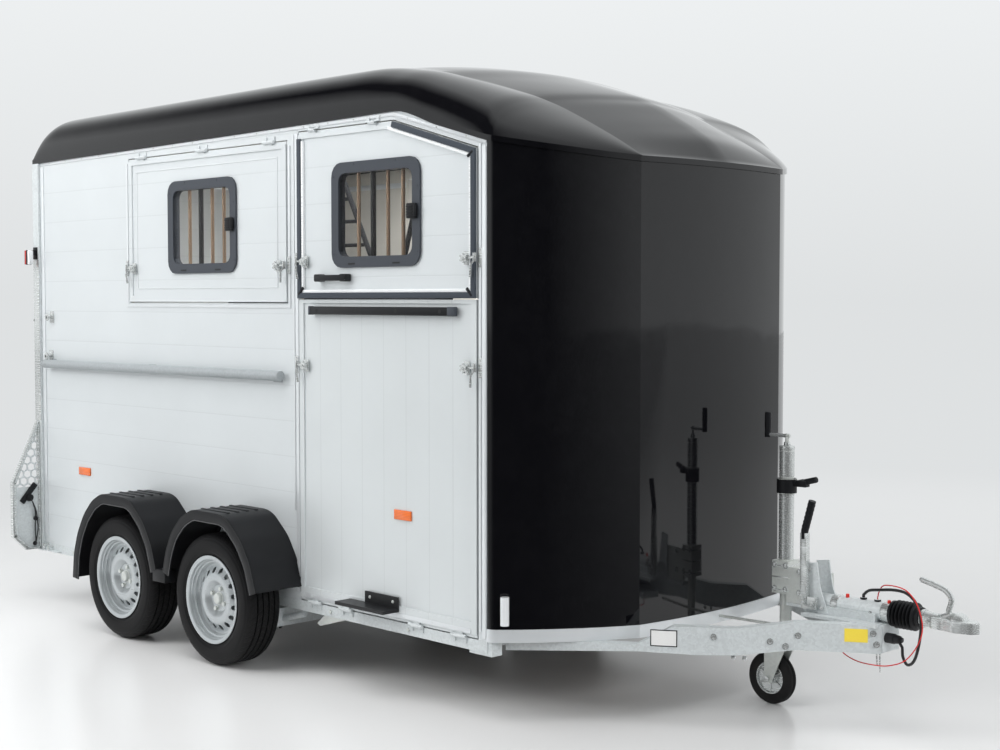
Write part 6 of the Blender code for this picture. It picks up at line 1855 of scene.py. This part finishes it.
@dataclass
class TailPanels:
    """What the rear ramp and rear flap carry: rims, handles, catches, triangles and the blank plate."""

    face: float = -0.05

    def build_ramp(self) -> None:
        """The rear ramp's border, handles, triangles, blank plate and catches."""
        x = self.face
        shape = bmesh.new()
        rim = [at(x - 0.0003, y, z) for y, z in ((-0.866, 0.332), (0.866, 0.332), (0.866, 1.5), (-0.866, 1.5))]
        add_frame(shape, rim, 0.034, Vector((-0.006, 0.0, 0.0)), 0.0015)
        for z in (0.64, 1.06):
            add_block(shape, at(x - 0.0048, -0.829, z - 0.014), at(x - 0.0003, 0.829, z + 0.014), 0.0012)
        settle("rear_ramp_border", shape, "edge_aluminium", "rear_ramp", 30.0)
        shape = bmesh.new()
        for side in (-1, 1):
            corners = [(side * 0.61 + 0.15 * math.sin(2 * math.pi * k / 3) / math.sqrt(3),
                        0.5 + 0.15 * math.cos(2 * math.pi * k / 3) / math.sqrt(3)) for k in range(3)]
            add_frame(shape, [at(x - 0.0004, y, z) for y, z in corners], 0.02, Vector((-0.006, 0.0, 0.0)), 0.001)
        settle("rear_ramp_triangles", shape, "lamp_red", "rear_ramp", 30.0)
        shape = bmesh.new()
        add_block(shape, at(x - 0.007, -0.272, 0.712), at(x - 0.0004, 0.272, 0.842), 0.003)
        settle("blank_plate_holder", shape, "guard_black", "rear_ramp", 30.0)
        shape = bmesh.new()
        add_block(shape, at(x - 0.0084, -0.26, 0.722), at(x - 0.0068, 0.26, 0.832), 0.0006)
        settle("blank_rear_plate", shape, "label_pale", "rear_ramp", 30.0)
        shape = bmesh.new()
        for y in (-0.48, 0.48):
            for z in (1.3, 1.42):
                add_rod(shape, at(x - 0.0004, y, z), at(x - 0.015, y, z), 0.0085, 16)
            add_rod(shape, at(x - 0.011, y, 1.286), at(x - 0.011, y, 1.434), 0.0078, 20, 0.0078, 0.002)
        settle("rear_ramp_grips", shape, "guard_black", "rear_ramp", 32.0)
        shape = bmesh.new()
        for side in (-1, 1):
            y = side * 0.822
            add_block(shape, at(x - 0.006, y - 0.024, 1.35), at(x - 0.0004, y + 0.024, 1.45), 0.0015)
            add_rod(shape, at(x - 0.005, y, 1.42), at(x - 0.018, y, 1.42), 0.0125, 24, 0.0105, 0.0015)
            add_rod(shape, at(x - 0.0125, y, 1.418), at(x - 0.0125, y, 1.345), 0.0058, 14, 0.0066, 0.0015)
        settle("rear_ramp_catches", shape, "bright_zinc", "rear_ramp", 32.0)

    def build_flap(self) -> None:
        """The rear flap's border, closing bar and catches."""
        x = self.face
        shape = bmesh.new()
        rim = [at(x - 0.0003, y, z) for y, z in ((-0.866, 1.516), (0.866, 1.516), (0.866, 2.252), (-0.866, 2.252))]
        add_frame(shape, rim, 0.028, Vector((-0.006, 0.0, 0.0)), 0.0015)
        settle("rear_flap_border", shape, "edge_aluminium", "rear_flap", 30.0)
        shape = bmesh.new()
        add_rod(shape, at(x - 0.011, -0.3, 1.585), at(x - 0.011, 0.3, 1.585), 0.008, 24, 0.008, 0.002)
        for y in (-0.27, 0.27):
            add_block(shape, at(x - 0.013, y - 0.015, 1.573), at(x - 0.0004, y + 0.015, 1.597), 0.002)
        settle("rear_flap_bar", shape, "guard_black", "rear_flap", 32.0)
        shape = bmesh.new()
        for side in (-1, 1):
            y = side * 0.8
            add_block(shape, at(x - 0.0062, y - 0.026, 1.56), at(x - 0.0004, y + 0.026, 1.64), 0.0015)
            add_rod(shape, at(x - 0.0055, y, 1.615), at(x - 0.018, y, 1.615), 0.012, 24, 0.01, 0.0015)
            add_rod(shape, at(x - 0.0125, y, 1.612), at(x - 0.0125, side * 0.745, 1.58), 0.0056, 14, 0.0064, 0.0015)
        settle("rear_flap_catches", shape, "bright_zinc", "rear_flap", 32.0)

    def build_inside(self) -> None:
        """The mats and battens on the inner faces of both ramps, and the floor's mat."""
        shape = bmesh.new()
        x = self.face + 0.025
        for z in [0.42 + 0.18 * step for step in range(6)]:
            add_block(shape, at(x + 0.0003, -0.78, z - 0.012), at(x + 0.012, 0.78, z + 0.012), 0.002)
        settle("rear_ramp_battens", shape, "mat_grey", "rear_ramp", 30.0)
        shape = bmesh.new()
        for z in [0.42 + 0.18 * step for step in range(7)]:
            add_block(shape, at(2.33, -0.8947, z - 0.012), at(3.27, -0.883, z + 0.012), 0.002)
        settle("exit_ramp_battens", shape, "mat_grey", "exit_ramp", 30.0)
        shape = bmesh.new()
        add_block(shape, at(0.04, -0.88, 0.3402), at(3.36, 0.88, 0.347), 0.001)
        settle("stall_mat", shape, "mat_grey", "trailer", 30.0)

    def build(self) -> None:
        """Makes the pieces of both rear panels and the mats."""
        self.build_ramp()
        self.build_flap()
        self.build_inside()


@dataclass
class Inside:
    """What shows through the panes: bar covers, padding, tie rings and the lining's rails."""

    def build_bars(self) -> None:
        """Lacquered covers on the window bars, one of each window black."""
        for name, x, z, side, body in (
                ("exit_bars", 2.756, 1.961, Side.RIGHT, "exit_flap"),
                ("right_bars", 1.514, 1.95, Side.RIGHT, "right_side_flap"),
                ("left_bars", 1.514, 1.95, Side.LEFT, "left_side_flap")):
            pale, dark = bmesh.new(), bmesh.new()
            for index, share in enumerate((0.22, 0.42, 0.62, 0.82)):
                bx = x - 0.463 / 2 + share * 0.463
                shape, radius = (dark, 0.0115) if index == 1 else (pale, 0.0082)
                y = side.value * 0.901
                add_rod(shape, at(bx, y, z - 0.1865), at(bx, y, z + 0.1865), radius, 20)
            settle(name, pale, "bar_bronze", body, 40.0)
            settle(f"{name}_dark", dark, "pad_black", body, 40.0)

    def build_padding(self) -> None:
        """Padding on the partition's board and on the breast and breeching bars."""
        shape = bmesh.new()
        add_block(shape, at(0.47, -0.03, 0.965), at(2.15, 0.03, 1.745), 0.016, 3)
        for x, z in ((2.18, 1.15), (0.44, 1.0)):
            for side in (-1, 1):
                add_rod(shape, at(x, side * 0.06, z), at(x, side * 0.85, z), 0.038, 28, 0.038, 0.01)
        settle("partition_padding", shape, "pad_black", "trailer", 40.0)
        shape = bmesh.new()
        for x in (0.9, 1.4, 1.85):
            add_rod(shape, at(x, -0.0312, 1.35), at(x, 0.0312, 1.35), 0.011, 20, 0.011, 0.002)
        for side in (-1, 1):
            y = sorted((side * 0.88, side * 0.8945))
            for x, z in ((2.18, 1.15), (0.44, 1.0)):
                add_block(shape, at(x - 0.035, y[0], z), at(x + 0.035, y[1], z + 0.04), 0.002)
            add_rod(shape, at(2.235, side * 0.884, 1.52), at(2.235, side * 0.8945, 1.52), 0.016, 20, 0.014, 0.001)
        settle("inside_fittings", shape, "bright_zinc", "trailer", 40.0)

    def build_rails(self) -> None:
        """The kick boards' top rails and the inner eave rails along both walls."""
        shape = bmesh.new()
        for side in (-1, 1):
            y = sorted((side * 0.886, side * 0.8947))
            for x, z in ((2.24, 1.12), (0.87, 2.25)):
                add_block(shape, at(0.04, y[0], z), at(x, y[1], z + 0.03), 0.002)
        settle("inner_rails", shape, "edge_aluminium", "trailer", 40.0)

    def build(self) -> None:
        """Makes what shows inside."""
        self.build_bars()
        self.build_padding()
        self.build_rails()


@dataclass
class GroomDoor:
    """The small door's black grip, lock, inner bead and the latches round it."""

    body: str = "groom_door"

    def build(self) -> None:
        """Makes the door's fittings."""
        side = Side.LEFT
        shape = bmesh.new()
        add_wall_block(shape, side, (2.6135, 2.6365), (1.048, 1.222), (0.0188, 0.0338), 0.004)
        for z in (1.0545, 1.1945):
            add_wall_block(shape, side, (2.614, 2.636), (z, z + 0.021), (0.0002, 0.031), 0.002)
        add_wall_block(shape, side, (2.596, 2.608), (1.26, 1.32), (0.0064, 0.012), 0.003)
        settle("groom_door_grip", shape, "guard_black", self.body, 30.0)
        near, far = (at(2.625, WALL_Y + out, 1.29) for out in (0.0002, 0.011))
        rod_piece("groom_door_lock", "bright_zinc", [(near, far, 0.015, 28, 0.014, 0.0015)], self.body, 30.0)
        shape = bmesh.new()
        bead = [(2.64, 0.43), (3.165, 0.43), (3.165, 2.03), (2.64, 2.03)]
        add_ribbon(shape, side, bead, 0.006, 0.0003, 0.0022, True)
        settle("groom_door_bead", shape, "edge_aluminium", self.body, 30.0)
        shape = bmesh.new()
        for z in (0.7, 1.9):
            add_wall_block(shape, side, (2.562, 2.6), (z, z + 0.04), (0.0064, 0.012), 0.003)
            add_wall_block(shape, side, (2.52, 2.554), (z, z + 0.04), (0.004, 0.011), 0.003)
        settle("groom_door_dogs", shape, "guard_black", "trailer", 30.0)


@dataclass
class Underside:
    """Brake rods and cables, wiring, floor bolts and dampers below the deck."""

    def build(self) -> None:
        """Makes the underside's pieces."""
        shape = bmesh.new()
        add_rod(shape, at(1.96, 0.0, 0.3), at(4.23, 0.0, 0.345), 0.0055, 16)
        add_block(shape, at(1.95, -0.06, 0.292), at(1.966, 0.06, 0.308), 0.002)
        for x, z in ((2.8, 0.3167), (3.6, 0.3325)):
            add_block(shape, at(x - 0.01, -0.014, z - 0.014), at(x + 0.01, 0.014, z + 0.014), 0.002)
        settle("brake_rod", shape, "zinc_plate", "trailer", 32.0)
        for side in Side:
            s = side.value
            for index, x in enumerate(AXLES_X.values()):
                route = [(1.952, s * (0.02 + 0.03 * index), 0.3), (1.93, s * (0.022 + 0.03 * index), 0.3),
                         (x + (0.07 if index else 0.3), s * 0.13, 0.288), (x + 0.06, s * 0.45, 0.28),
                         (x + 0.04, s * 0.7, 0.288), (x + 0.035, s * 0.84, 0.292), (x + 0.035, s * 0.86, 0.292)]
                cable(f"brake_bowden_{side.word}_{index}", smooth_route(route, 4), 0.0045, "cable_black")
        loom = [(0.02, -0.56, 0.304), (0.06, -0.56, 0.304), (1.4, -0.566, 0.304), (2.7, -0.566, 0.304),
                (3.2, -0.52, 0.304), (3.33, -0.42, 0.304), (3.35, -0.4, 0.304)]
        cable("floor_loom", smooth_route(loom, 4), 0.005, "cable_black")
        shape = bmesh.new()
        for x in (0.3, 0.8, 1.25, 1.75, 2.0, 2.5, 3.05):
            for y in (-0.75, -0.45, -0.15, 0.15, 0.45, 0.75):
                add_rod(shape, at(x, y, 0.3098), at(x, y, 0.3062), 0.0075, 14, 0.005)
        for side in (-1, 1):
            for x in (0.3, 0.7, 2.45, 2.95):
                add_rod(shape, at(x, side * 0.9202, 0.287), at(x, side * 0.9262, 0.287), 0.0085, 6, bevel=0.001)
        settle("floor_bolts", shape, "zinc_plate", "trailer", 32.0)
        shape, eyes = bmesh.new(), bmesh.new()
        for side in (-1, 1):
            for shift in (0.0, -0.773):
                top, low = at(2.066 + shift, side * 0.8, 0.256), at(1.918 + shift, side * 0.8, 0.13)
                way = (top - low).normalized()
                add_rod(shape, low.lerp(top, 0.3), top - way * 0.012, 0.022, 24, 0.022, 0.002)
                add_rod(shape, low, low.lerp(top, 0.34), 0.0165, 24, 0.0165, 0.002)
                for spot in (top, low):
                    add_rod(eyes, spot - Vector((0, 0.016, 0)), spot + Vector((0, 0.016, 0)), 0.014, 20, 0.014, 0.002)
            y = sorted((side * 0.876, side * 0.916))
            corners = [at(x, y[0], z) for x, z in ((2.35, 0.223), (2.372, 0.215), (2.54, 0.264), (2.4, 0.264))]
            add_sheet(eyes, corners, Vector((0.0, 0.005, 0.0)), 0.001)
            add_sheet(eyes, [Vector((c.x, c.y + 0.034, c.z)) for c in corners], Vector((0.0, 0.005, 0.0)), 0.001)
        settle("damper_tubes", shape, "guard_black", "trailer", 32.0)
        settle("damper_eyes", eyes, "zinc_plate", "trailer", 32.0)


def main() -> None:
    """Builds the studio and every sub-assembly in order."""
    pieces = [Studio(), Cords(), Wheels(), Shells(), HitchGear(), JackGear()]
    for side in Side:
        pieces += [WallTrim(side), Guards(side), RearGear(side)]
    pieces += [TailPanels(), Inside(), GroomDoor(), Underside()]
    for piece in pieces:
        piece.build()
        LOG.info("built %s", type(piece).__name__)
    dress_frame({"right_guard_tube": "dull_zinc", "left_guard_tube": "dull_zinc", "exit_ramp": "plank_upright"})


if __name__ == "__main__":
    main()
